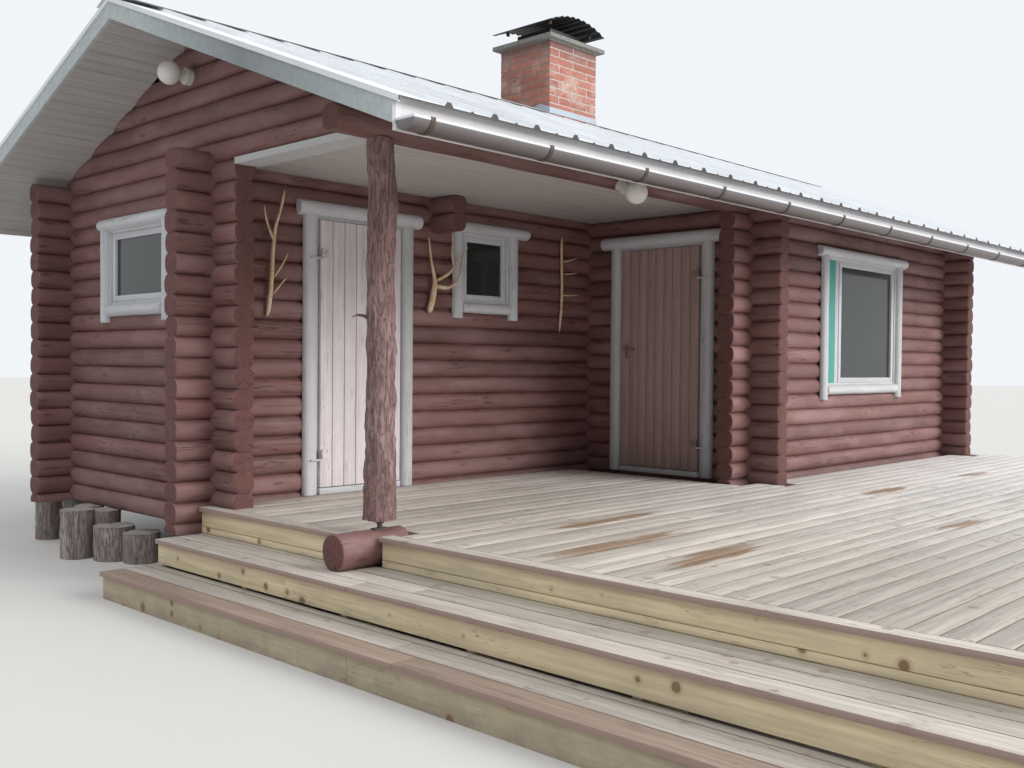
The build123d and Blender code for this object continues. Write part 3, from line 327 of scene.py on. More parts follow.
def use_group(tree, name, vector, *height):
    """Place a shared group in a material, and make it at its first use."""
    if name not in GROUPS:
        group = bpy.data.node_groups.new(name, "ShaderNodeTree")
        group.interface.new_socket("Vector", in_out="INPUT", socket_type="NodeSocketVector")
        if height:
            group.interface.new_socket("Height", in_out="INPUT", socket_type="NodeSocketFloat")
        given = put(group, "NodeGroupInput")
        results = GROUP_MAKERS[name](*(given[n] for n in range(1 + len(height))))
        for label in results:
            group.interface.new_socket(label, in_out="OUTPUT", socket_type="NodeSocketFloat")
        feed(group, group.nodes.new("NodeGroupOutput"), results)
        GROUPS[name] = group
    node = tree.nodes.new("ShaderNodeGroup")
    node.node_tree = GROUPS[name]
    feed(tree, node, dict(enumerate((vector, *height))))
    return Outputs(tree, node)


class Finish:
    """A material under construction: its tree, its shader, its usual vectors and its colour so far."""

    def __init__(self, name, roughness=0.6, metallic=0.0, **sockets):
        self.material = bpy.data.materials.new(name)
        self.material.use_nodes = True
        self.tree = self.material.node_tree
        self.shader = self.tree.nodes["Principled BSDF"]
        feed(self.tree, self.shader, {"Roughness": roughness, "Metallic": metallic})
        feed(self.tree, self.shader, {name.replace("_", " "): value for name, value in sockets.items()})
        self.place = put(self.tree, "ShaderNodeTexCoord")["Object"]
        self.colour = None

    def timber(self):
        """Vector along the wood and the piece's own tone."""
        return (put(self.tree, "ShaderNodeAttribute", attribute_name="grain")["Vector"],
                put(self.tree, "ShaderNodeAttribute", attribute_name="tone")["Fac"])

    def shifted(self, vector, tone):
        """Move a pattern aside by a piece's tone, so that neighbours differ."""
        return vector.vector("ADD", combine(X=tone * 91.0, Y=tone * 37.0))

    def wood(self, name="Timber Grain"):
        """Grain pattern on a stretch of its own for every piece of wood, with the piece's tone."""
        vector, tone = self.timber()
        return use_group(self.tree, name, self.shifted(vector, tone)), tone

    def weather(self, height=1.0):
        return use_group(self.tree, "Weather", self.place, height)

    def fine(self):
        return use_group(self.tree, "Fine Surface", self.place)

    def facing(self, axis):
        """One coordinate of the surface's normal."""
        return put(self.tree, "ShaderNodeNewGeometry")["Normal"].part(axis)

    def start(self, factor, first, second):
        """First colour: two mixed by a pattern."""
        self.colour = mix(self.tree, factor, first, second)

    def over(self, mask, colour):
        """Lay a colour over the one so far where a mask shows."""
        self.colour = mix(self.tree, mask, self.colour, colour)

    def layers(self, *layers):
        """Lay colours over each other: mask, share and colour."""
        for mask, share, colour in layers:
            self.over(mask * share, colour)

    def shade(self, tone, dark, bright):
        """Make each piece of wood darker or brighter by its tone."""
        share = tone.band(0.0, 1.0, dark, bright)
        grey = put(self.tree, "ShaderNodeCombineColor", {0: share, 1: share, 2: share})[0]
        self.colour = mix(self.tree, 1.0, self.colour, grey, "MULTIPLY")

    def done(self, relief=None, distance=0.002, strength=0.6, roughness=None):
        """Connect the colour, the relief and the roughness."""
        feed(self.tree, self.shader, {"Base Color": self.colour})
        if roughness:
            feed(self.tree, self.shader, {"Roughness": roughness})
        if relief:
            bump = put(self.tree, "ShaderNodeBump",
                       {"Height": relief, "Distance": distance, "Strength": strength})
            feed(self.tree, self.shader, {"Normal": bump[0]})
        return self.material


MATERIALS = {}


def log_material():
    """Stained log: streaks, worn patches, checks, a few knots; its bulge lighter by wear and painted
    highlight.
    """
    f = Finish("Stained Log", 0.62)
    grain, tone = f.timber()
    wood = use_group(f.tree, "Timber Grain", f.shifted(grain, tone))
    weather = f.weather(0.75)
    stain = tuple(colours().log)
    worn = tuple(colours().log_worn_and_highlit)
    # Outer bulge of each log: worn colour and light fibres, partly wear, partly painted highlight.
    highlit_crest = abs(grain.part("Y")).band(0.046, 0.074)
    f.start(wood["Streaks"].band(0.35, 0.68), darker(stain, 0.78), darker(stain, 1.1))
    rubbed_and_highlit = wood["Patches"].band(0.45, 0.72, 0.0, 0.7) + highlit_crest * 0.2
    f.over(rubbed_and_highlit.do("MINIMUM", 0.9), worn)
    f.over(wood["Fibres"].band(0.60, 0.72, 0.0, 0.45) * highlit_crest, darker(worn, 1.35))
    f.shade(tone, 0.80, 1.20)
    # Splash layer: lighter grey near the deck, partly splash weathering, partly painted bounce light.
    f.layers((weather["Mottle"], 0.16, (0.23, 0.17, 0.165)), (wood["Knots"], 0.6, darker(stain, 0.4)),
             (wood["Cracks"], 0.85, darker(stain, 0.2)), (weather["Splash"], 0.35, (0.25, 0.19, 0.18)))
    return f.done(wood["Fibres"] * 0.35 + wood["Streaks"] - wood["Cracks"] * 1.6, 0.0028, 0.75,
                  wood["Streaks"].band(0.2, 0.8, 0.5, 0.78))


def from_pith(grain):
    """Distance of a point of a log's end from the log's middle."""
    return (grain.part("Y").do("POWER", 2.0) + grain.part("Z").do("POWER", 2.0)).do("SQRT")


def log_end_material():
    """Sawn end of a stained log: rings, radial checks, rough dark stain."""
    f = Finish("Log End", 0.8)
    grain, tone = f.timber()
    across = combine(X=grain.part("Y"), Y=grain.part("Z"), Z=tone * 9.0)
    distance = from_pith(grain)
    rings = ((distance + across.noise(22.0, 3.0) * 0.012) * 1500.0).do("SINE")
    angle = grain.part("Z").do("ARCTAN2", grain.part("Y"))
    spokes = combine(X=angle * 2.4, Y=tone * 23.0, Z=distance * 5.0).noise(1.6, 1.0)
    checks = spokes.crease(0.02)
    stain = tuple(colours().log)
    f.start(rings.band(-1.0, 1.0), darker(stain, 0.75), darker(stain, 1.25))
    f.layers((across.noise(60.0, 4.0), 0.4, darker(tuple(colours().log_worn_and_highlit), 0.5)),
             (checks, 0.9, darker(stain, 0.15)))
    return f.done(rings * 0.25 - checks, 0.003, 0.7)


def painted_timber(name, colour, under, roughness=0.6, wear=0.5, streak=0.85):
    """Painted or weathered wood whose paint thins in streaks."""
    f = Finish(name, roughness)
    wood, tone = f.wood()
    weather = f.weather(0.7)
    f.start(wood["Streaks"].band(0.36, 0.66), darker(colour, streak), colour)
    f.over(wood["Patches"].band(0.6, 0.8) * wear * wood["Fibres"], under)
    f.shade(tone, 0.92, 1.07)
    f.layers((weather["Mottle"], 0.12, darker(under, 0.8)), (wood["Knots"], 0.22, darker(under, 0.7)),
             (wood["Cracks"], 0.6, darker(under, 0.35)), (weather["Splash"], 0.35, (0.30, 0.26, 0.20)))
    return f.done(wood["Fibres"] * 0.5 + wood["Streaks"] - wood["Cracks"], 0.0016, 0.6,
                  wood["Streaks"].band(0.2, 0.8, roughness - 0.08, roughness + 0.15))


def pine_material(name="Yellow Pine", share=1.0):
    """Yellowed pine with round brown knots and grey water marks."""
    f = Finish(name)
    wood = f.wood("Board Grain")[0]
    weather = f.weather(0.22)
    # A share below one darkens the whole pine: that darker copy is painted shade.
    pine = darker(tuple(colours().pine), share)
    f.start(wood["Streaks"].band(0.33, 0.66), darker(pine, 0.72), pine)
    f.over(wood["Patches"].band(0.45, 0.75, 0.0, 0.5), (0.55, 0.46, 0.33))
    f.layers((weather["Dirt"], 0.3, (0.42, 0.38, 0.31)), (weather["Splash"], 0.9, (0.36, 0.29, 0.22)),
             (wood["Halo"], 0.45, (0.40, 0.24, 0.11)), (wood["Knots"], 0.75, (0.17, 0.09, 0.05)),
             (wood["Cracks"], 0.6, (0.16, 0.12, 0.08)))
    return f.done(wood["Streaks"] - wood["Cracks"], 0.0015, 0.5)


# x, y, length and width of each damp mark
WET_PLACES = ((1.18, -2.20, 0.50, 0.065), (0.66, -2.74, 0.56, 0.075), (0.72, -3.27, 0.42, 0.085),
              (3.92, -2.71, 0.32, 0.065), (2.72, -3.74, 0.32, 0.06), (5.70, -2.72, 0.26, 0.06))


def wet_mask(f):
    """Long damp marks on the terrace, soaked in along the boards."""
    wander = f.place.scaled((3.0, 22.0, 1.0)).noise(1.0, 4.0)
    total = None
    for x, y, length_along, width in WET_PLACES:
        away = f.place.vector("SUBTRACT", tuple(at(x, y, 0.0)))
        flat = away.vector("MULTIPLY", (1.0 / length_along, 1.0 / width, 0.0))
        mark = (flat.vector("LENGTH", output="Value") + (wander - 0.5) * 2.2).band(0.75, 1.15, 1.0, 0.0)
        total = total.do("MAXIMUM", mark) if total else mark
    return total


def deck_material(name="Weathered Deck", colour=None, sheen_whitening=0.85):
    """Bleached boards: brown worn edges, damp marks, knots and grit in the grain; painted sheen towards +X.
    """
    f = Finish(name, 0.62)
    wood, tone = f.wood("Board Grain")
    weather = f.weather(0.6)
    deck = colour or tuple(colours().deck)
    f.start(wood["Streaks"].band(0.33, 0.66), darker(deck, 0.66), darker(deck, 1.08))
    f.over(wood["Patches"].band(0.52, 0.72, 0.0, 0.4), darker(deck, 0.62))
    f.shade(tone, 0.74, 1.16)
    # Whiter towards +X: painted sheen and sunlight on the far boards.
    sheen_from, sheen_to = at(1.0, 0.0, 0.0).x, at(6.5, 0.0, 0.0).x
    f.over(f.place.part("X").band(sheen_from, sheen_to, 0.0, sheen_whitening), (0.90, 0.90, 0.91))
    wet = wet_mask(f)
    f.layers((weather["Mottle"], 0.2, darker(deck, 0.72)), (weather["Dirt"], 0.2, darker(deck, 0.6)),
             (wood["Halo"], 0.22, (0.40, 0.30, 0.23)), (wood["Knots"], 0.42, (0.22, 0.15, 0.11)),
             (wood["Cracks"], 0.75, (0.16, 0.12, 0.10)), (wet, 0.85, (0.30, 0.19, 0.11)))
    f.over(f.facing("Z").band(0.25, 0.8, 0.85, 0.0), (0.33, 0.225, 0.19))
    return f.done(wood["Fibres"] * 0.5 + wood["Streaks"] - wood["Cracks"], 0.0018, 0.6,
                  wood["Streaks"].band(0.2, 0.8, 0.55, 0.75) - wet * 0.2)


def bark_material(name, dark, mid, pale):
    """Scaly bark round a standing log."""
    f = Finish(name, 0.85)
    vector = f.shifted(*f.timber())
    furrow = vector.scaled((7.0, 42.0, 42.0)).noise(1.0, 4.0, 0.6, 0.5).crease(0.035)
    coarse = vector.scaled((9.0, 50.0, 50.0)).noise(1.0, 6.0, 0.7)
    broad = vector.scaled((3.0, 7.0, 7.0)).noise(1.0, 4.0)
    f.start(coarse.band(0.32, 0.62), dark, mid)
    f.over(broad.band(0.46, 0.62) * coarse.band(0.4, 0.6), pale)
    f.over(furrow * 0.35, darker(dark, 0.6))
    return f.done(coarse - furrow, 0.006, 0.9)


def cut_wood_material():
    """Grey sawn top of a log round."""
    f = Finish("Sawn Round", 0.85)
    grain, tone = f.timber()
    blot = combine(X=grain.part("Y"), Y=grain.part("Z"), Z=tone).noise(18.0, 5.0)
    rings = ((from_pith(grain) + blot * 0.014) * 1100.0).do("SINE")
    f.start(rings.band(-1.0, 1.0), (0.38, 0.345, 0.31), (0.50, 0.46, 0.42))
    f.over(blot.band(0.45, 0.7), (0.30, 0.27, 0.245))
    return f.done(rings * 0.4, 0.002, 0.5)


def soffit_material(name="Painted Soffit", colour=None, pitch=0.095):
    """Painted boards along X under the roof: fine joints at a pitch, streaks and dust."""
    f = Finish(name, 0.7)
    colour = colour or tuple(colours().soffit)
    row = f.place.part("Y") / pitch
    joint_edge = 0.47
    joints = abs(row.do("FRACT") - 0.5).band(joint_edge, 0.5)
    vector = f.place.vector("ADD", combine(Z=row.do("FLOOR") * 3.7))
    streaks = vector.scaled((1.3, 26.0, 26.0)).noise(1.0, 5.0)
    f.start(streaks.band(0.3, 0.7), darker(colour, 0.86), darker(colour, 1.06))
    f.layers((f.weather()["Dirt"], 0.28, darker(colour, 0.66)), (joints, 0.75, darker(colour, 0.3)))
    return f.done(streaks - joints * 2.0, 0.002, 0.6)


def sheet_material(name, colour, metallic=0.0, roughness=0.4, dirt=0.3, dirt_colour=(0.25, 0.25, 0.24)):
    """Coated sheet: smears, fine grit and dirt that runs down."""
    f = Finish(name, roughness, metallic)
    fine = f.fine()
    f.start(fine["Smears"].band(0.35, 0.7), darker(colour, 0.87), colour)
    f.layers((f.weather()["Dirt"], dirt, dirt_colour), (fine["Pits"], 0.10, darker(dirt_colour, 0.8)))
    gloss = fine["Smears"].band(0.2, 0.8, roughness - 0.1, roughness + 0.15)
    return f.done(fine["Grit"], 0.0004, 0.3, gloss)


def roof_material():
    """Coated roof sheet, with near-black painted shade on the rib ends at the eaves, where the real ribs are
    open.
    """
    f = Finish("Roof Sheet", 0.42, 0.1)
    colour = tuple(colours().roof)
    eaves = span("front_roof_sheet")[0][2]
    fine = f.fine()
    f.start(fine["Smears"].band(0.35, 0.7), darker(colour, 0.88), colour)
    f.layers((f.weather()["Dirt"], 0.3, darker(colour, 0.6)), (fine["Pits"], 0.10, darker(colour, 0.4)))
    # Painted shade: the ribs' front ends at the eaves near-black, for the shade inside the open ribs.
    rib_end_shade = f.place.part("Z").band(eaves + 0.003, eaves + 0.006)
    f.over(f.facing("Y").band(-0.85, -0.7, 1.0, 0.0) * rib_end_shade, (0.03, 0.028, 0.028))
    return f.done(fine["Grit"], 0.0004, 0.3, fine["Smears"].band(0.2, 0.8, 0.32, 0.55))


def gutter_material():
    """Gutter: dull grey body, brown painted shade and reflection below, a painted highlight on the rim."""
    f = Finish("Gutter Coat", 0.38, 0.1)
    low, high = span("gutter")
    fine = f.fine()
    height = f.place.part("Z")
    # Darker brown towards the bottom: painted shade and a painted reflection of the ground.
    f.start(height.band(low[2], low[2] + 0.06), (0.11, 0.085, 0.078), (0.21, 0.20, 0.21))
    f.over(fine["Smears"].band(0.4, 0.7, 0.0, 0.4), (0.16, 0.15, 0.155))
    f.over(f.weather()["Mottle"] * 0.25, (0.13, 0.11, 0.105))
    # Bright bluish band at the rim: painted highlight.
    f.over(height.band(high[2] - 0.012, high[2] - 0.009), (0.74, 0.77, 0.82))
    return f.done(fine["Grit"], 0.0004, 0.3, fine["Smears"].band(0.2, 0.8, 0.3, 0.5))


def brick_material():
    """Fired brick: each brick its own red, with soot and white bloom."""
    f = Finish("Fired Brick", 0.85)
    tone = f.timber()[1]
    fine = f.fine()
    brick = tuple(colours().brick)
    bloom = f.place.noise(5.0, 5.0, 0.65)
    f.start(tone, darker(brick, 0.66), darker(brick, 1.2))
    f.colour = mix(f.tree, fine["Grit"].band(0.35, 0.7), darker(brick, 0.6), f.colour)
    f.over(bloom.band(0.50, 0.68) * 0.55, (0.60, 0.55, 0.48))
    soot_from, soot_to = 4.22, 4.40
    soot = f.place.part("Z") + bloom * 0.25
    f.over(soot.band(soot_from, soot_to, 0.0, 0.75), (0.12, 0.095, 0.09))
    f.over(fine["Pits"] * 0.5, darker(brick, 0.35))
    return f.done(fine["Grit"] - fine["Pits"], 0.0018, 0.7)


def stone_material(name, colour, spots, shade_on_minus_x=False):
    """Rough mineral surface, such as mortar or cast concrete; painted shade on the side that faces -X."""
    f = Finish(name, 0.9)
    fine = f.fine()
    f.start(fine["Grit"], darker(colour, 0.7), darker(colour, 1.2))
    f.layers((f.weather(0.4)["Dirt"], 0.5, spots), (fine["Pits"], 0.6, darker(colour, 0.4)))
    if shade_on_minus_x:
        # Painted shade: faces towards -X darker.
        f.over(f.facing("X").band(-0.9, -0.4, 0.8, 0.0), (0.24, 0.16, 0.14))
    return f.done(fine["Grit"] - fine["Pits"], 0.0025, 0.8)


def iron_material(name, colour, rust_share):
    """Dull metal with some rust."""
    f = Finish(name, 0.55, 0.4)
    rust = f.place.noise(38.0, 5.0, 0.7).band(0.5, 0.64)
    f.start(rust * rust_share, colour, (0.16, 0.065, 0.03))
    return f.done(f.fine()["Grit"], 0.0008, 0.5, rust.band(0.0, 1.0, 0.45, 0.9))


def glass_material():
    """Dark window glass with a little dust."""
    f = Finish("Window Glass", 0.06, IOR=1.5, Transmission_Weight=0.25)
    weather = f.weather()
    f.start(weather["Dirt"] * 0.2, (0.035, 0.04, 0.038), (0.08, 0.085, 0.085))
    return f.done(roughness=weather["Mottle"].band(0.0, 1.0, 0.04, 0.10))


def gauze_material():
    """Green gauze of the vent: a fine square weave."""
    f = Finish("Green Gauze", 0.7)
    weave = put(f.tree, "ShaderNodeTexChecker", {"Vector": f.place, "Scale": 420.0, "Color1": (1, 1, 1, 1),
                                                 "Color2": (0, 0, 0, 1)})["Fac"]
    f.start(weave, (0.035, 0.26, 0.22), (0.085, 0.40, 0.34))
    f.over(f.weather()["Dirt"] * 0.4, (0.13, 0.33, 0.31))
    return f.done(weave, 0.0006, 0.5)


def globe_material():
    """Opal globe with faint dust."""
    f = Finish("Opal Globe", 0.25, Subsurface_Weight=0.15)
    f.start(f.weather()["Mottle"] * 0.25, (0.80, 0.79, 0.76), (0.60, 0.58, 0.53))
    return f.done()


def stick_material():
    """Barked stick, yellow brown with grey."""
    f = Finish("Peeled Stick")
    patches = f.place.noise(14.0, 5.0, 0.6)
    f.start(patches.band(0.4, 0.62), (0.70, 0.47, 0.27), (0.80, 0.67, 0.50))
    f.over(f.place.noise(60.0, 3.0).band(0.58, 0.72), (0.34, 0.21, 0.12))
    return f.done(patches, 0.002, 0.6)


def build_materials():
    """Make every finish once."""
    c = colours()
    MATERIALS.update({
        "log": log_material(),
        "log_end": log_end_material(),
        "casing": painted_timber("Casing Paint", tuple(c.casing), (0.33, 0.29, 0.25), 0.55, 0.5, 0.88),
        "left_door_paint": painted_timber("Left Door Paint", tuple(c.left_door), (0.40, 0.30, 0.26), 0.55,
                                          0.4),
        "right_door_paint": painted_timber("Right Door Paint", tuple(c.right_door), (0.24, 0.16, 0.15), 0.6,
                                           0.6),
        # Near-black backing seen in the door grooves: painted shade.
        "door_back": painted_timber("Door Backing", (0.07, 0.05, 0.048), (0.04, 0.03, 0.03)),
        "trim": painted_timber("White Trim", (0.62, 0.62, 0.63), (0.45, 0.43, 0.40), 0.5, 0.3, 0.93),
        "floor_boards": painted_timber("Floor Boards", (0.34, 0.24, 0.15), (0.22, 0.15, 0.09), 0.6, 0.3),
        "riser_wood": pine_material(),
        # Lowest riser: the pine darkened as painted shade.
        "aged_riser": pine_material("Shaded Pine", 0.62),
        "deck": deck_material(),
        "worn_tread": deck_material("Worn Tread", (0.46, 0.35, 0.28), 0.15),
        "post_bark": bark_material("Post Bark", (0.155, 0.085, 0.078), (0.265, 0.165, 0.158),
                                   (0.37, 0.26, 0.25)),
        "stump_bark": bark_material("Stump Bark", (0.19, 0.15, 0.135), (0.36, 0.30, 0.28),
                                    (0.54, 0.49, 0.46)),
        "cut_wood": cut_wood_material(),
        "soffit": soffit_material(),
        "verge": soffit_material("Verge Paint", (0.50, 0.55, 0.56), 40.0),
        "ceiling": soffit_material("Ceiling Paint", (0.52, 0.485, 0.47)),
        "roof_sheet": roof_material(),
        "gutter": gutter_material(),
        "fascia": sheet_material("Fascia Coat", (0.80, 0.79, 0.81), 0.0, 0.45, 0.35, (0.5, 0.47, 0.47)),
        "flashing": sheet_material("Flashing", (0.40, 0.46, 0.53), 0.2, 0.5, 0.3),
        "black_sheet": sheet_material("Black Sheet", (0.020, 0.020, 0.023), 0.1, 0.5, 0.2,
                                      (0.07, 0.07, 0.07)),
        "iron": iron_material("Dull Iron", (0.085, 0.08, 0.075), 1.0),
        "pale_fitting": iron_material("Painted Fitting", (0.62, 0.57, 0.58), 0.3),
        "brown_fitting": iron_material("Brown Fitting", (0.30, 0.22, 0.21), 0.4),
        "brick": brick_material(),
        # Mortar with painted shade on its -X side.
        "mortar": stone_material("Mortar", (0.56, 0.51, 0.48), (0.34, 0.30, 0.27), True),
        "concrete": stone_material("Cast Concrete", (0.21, 0.21, 0.195), (0.30, 0.28, 0.25)),
        "glass": glass_material(),
        "vent": gauze_material(),
        "lamp_plastic": sheet_material("Lamp Base", (0.66, 0.65, 0.61), 0.0, 0.35, 0.3, (0.4, 0.38, 0.34)),
        "globe": globe_material(),
        "stick": stick_material(),
    })


# Mesh helpers

def deselect():
    bpy.ops.object.select_all(action="DESELECT")


def activate(obj):
    deselect()
    obj.select_set(True)
    bpy.context.view_layer.objects.active = obj


def apply_modifier(obj, kind, **settings):
    """Add a modifier and apply it."""
    activate(obj)
    modifier = obj.modifiers.new(kind.title(), kind)
    for key, value in settings.items():
        setattr(modifier, key, value)
    bpy.ops.object.modifier_apply(modifier=modifier.name)


def settle(obj):
    """Bake the object's place, turn and size into its mesh."""
    activate(obj)
    bpy.ops.object.transform_apply(location=True, rotation=True, scale=True)


def coordinates(mesh):
    """Vertex places as an array."""
    flat = np.zeros(len(mesh.vertices) * 3)
    mesh.vertices.foreach_get("co", flat)
    return flat.reshape(-1, 3)


def write_coordinates(mesh, places):
    mesh.vertices.foreach_set("co", np.ascontiguousarray(places, dtype=np.float32).ravel())
    mesh.update()


UPRIGHT = (2, 0, 1)


def mark_timber(mesh, tone, order=(0, 1, 2), origin=(0.0, 0.0, 0.0)):
    """Store the grain vector, from the mesh's present place, and the piece's tone."""
    places = (coordinates(mesh) - origin)[:, list(order)]
    grain = mesh.attributes.get("grain") or mesh.attributes.new("grain", "FLOAT_VECTOR", "POINT")
    grain.data.foreach_set("vector", np.ascontiguousarray(places, dtype=np.float32).ravel())
    shade = mesh.attributes.get("tone") or mesh.attributes.new("tone", "FLOAT", "POINT")
    shade.data.foreach_set("value", np.full(len(mesh.vertices), tone, dtype=np.float32))


def copy_of(master, name="copy"):
    """Copy with its own mesh."""
    obj = master.copy()
    obj.data = master.data.copy()
    obj.name = name
    bpy.context.scene.collection.objects.link(obj)
    return obj


def drop(obj):
    """Remove a master that is no longer needed."""
    mesh = obj.data
    bpy.data.objects.remove(obj)
    bpy.data.meshes.remove(mesh)


def join(parts, name):
    """Join parts to one piece."""
    activate(parts[0])
    for part in parts:
        part.select_set(True)
    if len(parts) > 1:
        bpy.ops.object.join()
    piece = bpy.context.view_layer.objects.active
    piece.name = name
    piece.data.name = name
    return piece


def smooth(piece, degrees=40.0):
    activate(piece)
    bpy.ops.object.shade_smooth_by_angle(angle=math.radians(degrees))


def enter(piece, mode):
    """Edit mode with nothing selected."""
    activate(piece)
    bpy.ops.object.mode_set(mode="EDIT")
    bpy.ops.mesh.select_mode(type=mode)
    bpy.ops.mesh.select_all(action="DESELECT")
    bpy.ops.object.mode_set(mode="OBJECT")


def edit(operation, **settings):
    """Run one edit mode operator on what is selected."""
    bpy.ops.object.mode_set(mode="EDIT")
    operation(**settings)
    bpy.ops.object.mode_set(mode="OBJECT")


def edit_edges(piece, chosen, operation, **settings):
    """Run one operator on the edges whose two ends pass a test."""
    enter(piece, "EDGE")
    for edge in piece.data.edges:
        a, b = (piece.data.vertices[i].co for i in edge.vertices)
        edge.select = chosen(a, b)
    edit(operation, **settings)


def edit_faces(piece, chosen, operation, **settings):
    """Run one operator on the faces that pass a test."""
    enter(piece, "FACE")
    for face in piece.data.polygons:
        face.select = bool(chosen(face))
    edit(operation, **settings)


def slice_off(piece, point, normal):
    """Cut away what lies beyond a plane and close the cut."""
    activate(piece)
    bpy.ops.object.mode_set(mode="EDIT")
    bpy.ops.mesh.select_all(action="SELECT")
    bpy.ops.mesh.bisect(plane_co=point, plane_no=normal, use_fill=True, clear_outer=True)
    bpy.ops.object.mode_set(mode="OBJECT")


def finish_piece(piece, slot, body=CABIN, replaced=(), angle=40.0):
    """Smooth a piece and tie it to its body and the nodes it stands for; its slot is not used."""
    if angle:
        smooth(piece, angle)
    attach(piece, body)
    if replaced:
        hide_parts(*replaced)
    deselect()
    return piece


def paint(piece, *names):
    """Give a piece its materials, one slot each."""
    piece.data.materials.clear()
    for name in names:
        piece.data.materials.append(MATERIALS[name])


def add_box(low, high, edge=0.0, segments=2):
    """Bevelled box between two corners, in place."""
    centre = [(a + b) / 2 for a, b in zip(low, high)]
    size = [b - a for a, b in zip(low, high)]
    deselect()
    bpy.ops.mesh.primitive_cube_add(size=1.0, location=centre)
    obj = bpy.context.active_object
    obj.scale = size
    settle(obj)
    if edge:
        apply_modifier(obj, "BEVEL", width=edge, segments=segments, limit_method="NONE")
    return obj


# Logs

LOG_MASTERS = {}
END_MARGIN = 0.03
SIDE = 0
END = 1
END_NORMAL = 0.8


def log_master(rings, round_section=False):
    """Log one metre long along X, with chamfered ends and a fan of faces on each end."""
    if (rings, round_section) in LOG_MASTERS:
        return LOG_MASTERS[rings, round_section]
    s = logs()
    corner = s.half_height * 0.97 if round_section else s.corner
    around = 4 * (s.corner_steps + 1)
    deselect()
    bpy.ops.mesh.primitive_cube_add(size=1.0)
    obj = bpy.context.active_object
    obj.scale = (1.0, 2 * s.half_width, 2 * s.half_height)
    settle(obj)

    def lengthwise(a, b):
        return abs(a.x - b.x) > 0.5

    def at_an_end(a, b):
        return min(abs(a.x), abs(b.x)) > 0.499

    def end_face(face):
        return len(face.vertices) == around

    edit_edges(obj, lengthwise, bpy.ops.mesh.bevel, offset=corner, segments=s.corner_steps, affect="EDGES")
    edit_edges(obj, lengthwise, bpy.ops.mesh.subdivide, number_cuts=rings)
    edit_edges(obj, at_an_end, bpy.ops.mesh.bevel, offset=s.chamfer, segments=2, affect="EDGES")
    edit_faces(obj, end_face, bpy.ops.mesh.inset, thickness=s.half_height * 0.4)
    edit_faces(obj, end_face, bpy.ops.mesh.poke)
    paint(obj, "log", "log_end")
    for face in obj.data.polygons:
        face.material_index = END if abs(face.normal.x) > END_NORMAL else SIDE
    LOG_MASTERS[rings, round_section] = obj
    return obj


def stretch(mesh, length):
    """Lengthen a one metre log without stretching its ends."""
    places = coordinates(mesh)
    x = places[:, 0]
    edge = 0.5 - END_MARGIN
    inner = np.abs(x) < edge
    places[inner, 0] = x[inner] * (length / 2 - END_MARGIN) / edge
    places[~inner, 0] = np.sign(x[~inner]) * (length / 2 - (0.5 - np.abs(x[~inner])))
    write_coordinates(mesh, places)


TURN_TO = {"X": Matrix.Identity(4), "Y": Matrix.Rotation(math.pi / 2, 4, "Z")}
MOST_RINGS = 30


def add_log(axis, start, end, side, height, draw, radius=None):
    """One log from start to end along X or Y; side is its place on the other axis."""
    length = end - start
    rings = max(1, min(MOST_RINGS, round(length / logs().ring_gap)))
    obj = copy_of(log_master(rings, radius is not None))
    mesh = obj.data
    stretch(mesh, length)
    if radius:
        mesh.transform(Matrix.Diagonal((1.0, radius / logs().half_width, radius / logs().half_height, 1.0)))
    mark_timber(mesh, draw.random())
    mesh.transform(Matrix.Rotation(draw.choice((0.0, math.pi)), 4, "X"))
    mesh.transform(TURN_TO[axis])
    centre = (start + end) / 2
    place = at(centre, side, height) if axis == "X" else at(side, centre, height)
    mesh.transform(Matrix.Translation(place))
    return obj


# Levels of the log walls above the ground, and how far their logs reach past or stop short of a corner

WALL_BASE = 0.33
WALL_TOP = 2.67
PLATE_BASE = 2.605
PLATE_TOP = 2.735
TIE_BASE = 2.41
HALF_COURSE = 0.065
CROWN_COURSES = 7
ROOF_SLOPE = 0.388
STUB = 0.325
WALL_HALF = 0.075
BUTT = 0.07


def trim_to_roof(piece):
    """Cut a piece to the underside of both slopes."""
    point = at(0.0, RIDGE_Y, UNDER_RIDGE)
    slice_off(piece, point, (0.0, -ROOF_SLOPE, 1.0))
    slice_off(piece, point, (0.0, ROOF_SLOPE, 1.0))


LEAST_CUT = 0.012


def spans_beside(start, end, low, high, openings):
    """Stretches of a log that openings leave whole, and those cut in height, with their cut."""
    whole = [(start, end)]
    clipped = []
    for a, b, foot, head in openings:
        if high <= foot or low >= head:
            continue
        rest = []
        for s, e in whole:
            if b <= s or a >= e:
                rest.append((s, e))
                continue
            if a > s:
                rest.append((s, a))
            if b < e:
                rest.append((b, e))
        whole = rest
        if low < foot - LEAST_CUT:
            clipped.append((a, b, foot, 1.0))
        if high > head + LEAST_CUT:
            clipped.append((a, b, head, -1.0))
    return whole, clipped


def wall_logs(axis, start, end, side, bottoms, openings=(), free_ends=(True, True)):
    """All the logs of a wall: bottoms are the lower seams of its courses."""
    s = logs()
    draw = random.Random(s.seed + int(1000 * abs(side)) + (axis == "Y") * 17 + int(100 * abs(start)))
    parts = []
    for bottom in bottoms:
        low, high = bottom, bottom + s.course
        centre = (low + high) / 2
        first = start + (draw.uniform(-1, 1) * s.end_scatter if free_ends[0] else 0.0)
        last = end + (draw.uniform(-1, 1) * s.end_scatter if free_ends[1] else 0.0)
        whole, clipped = spans_beside(first, last, low, high, openings)
        for a, b in whole:
            parts.append(add_log(axis, a, b, side, centre, draw))
        for a, b, level, up in clipped:
            log = add_log(axis, a, b, side, centre, draw)
            slice_off(log, at(0.0, 0.0, level), (0.0, 0.0, up))
            parts.append(log)
    return parts


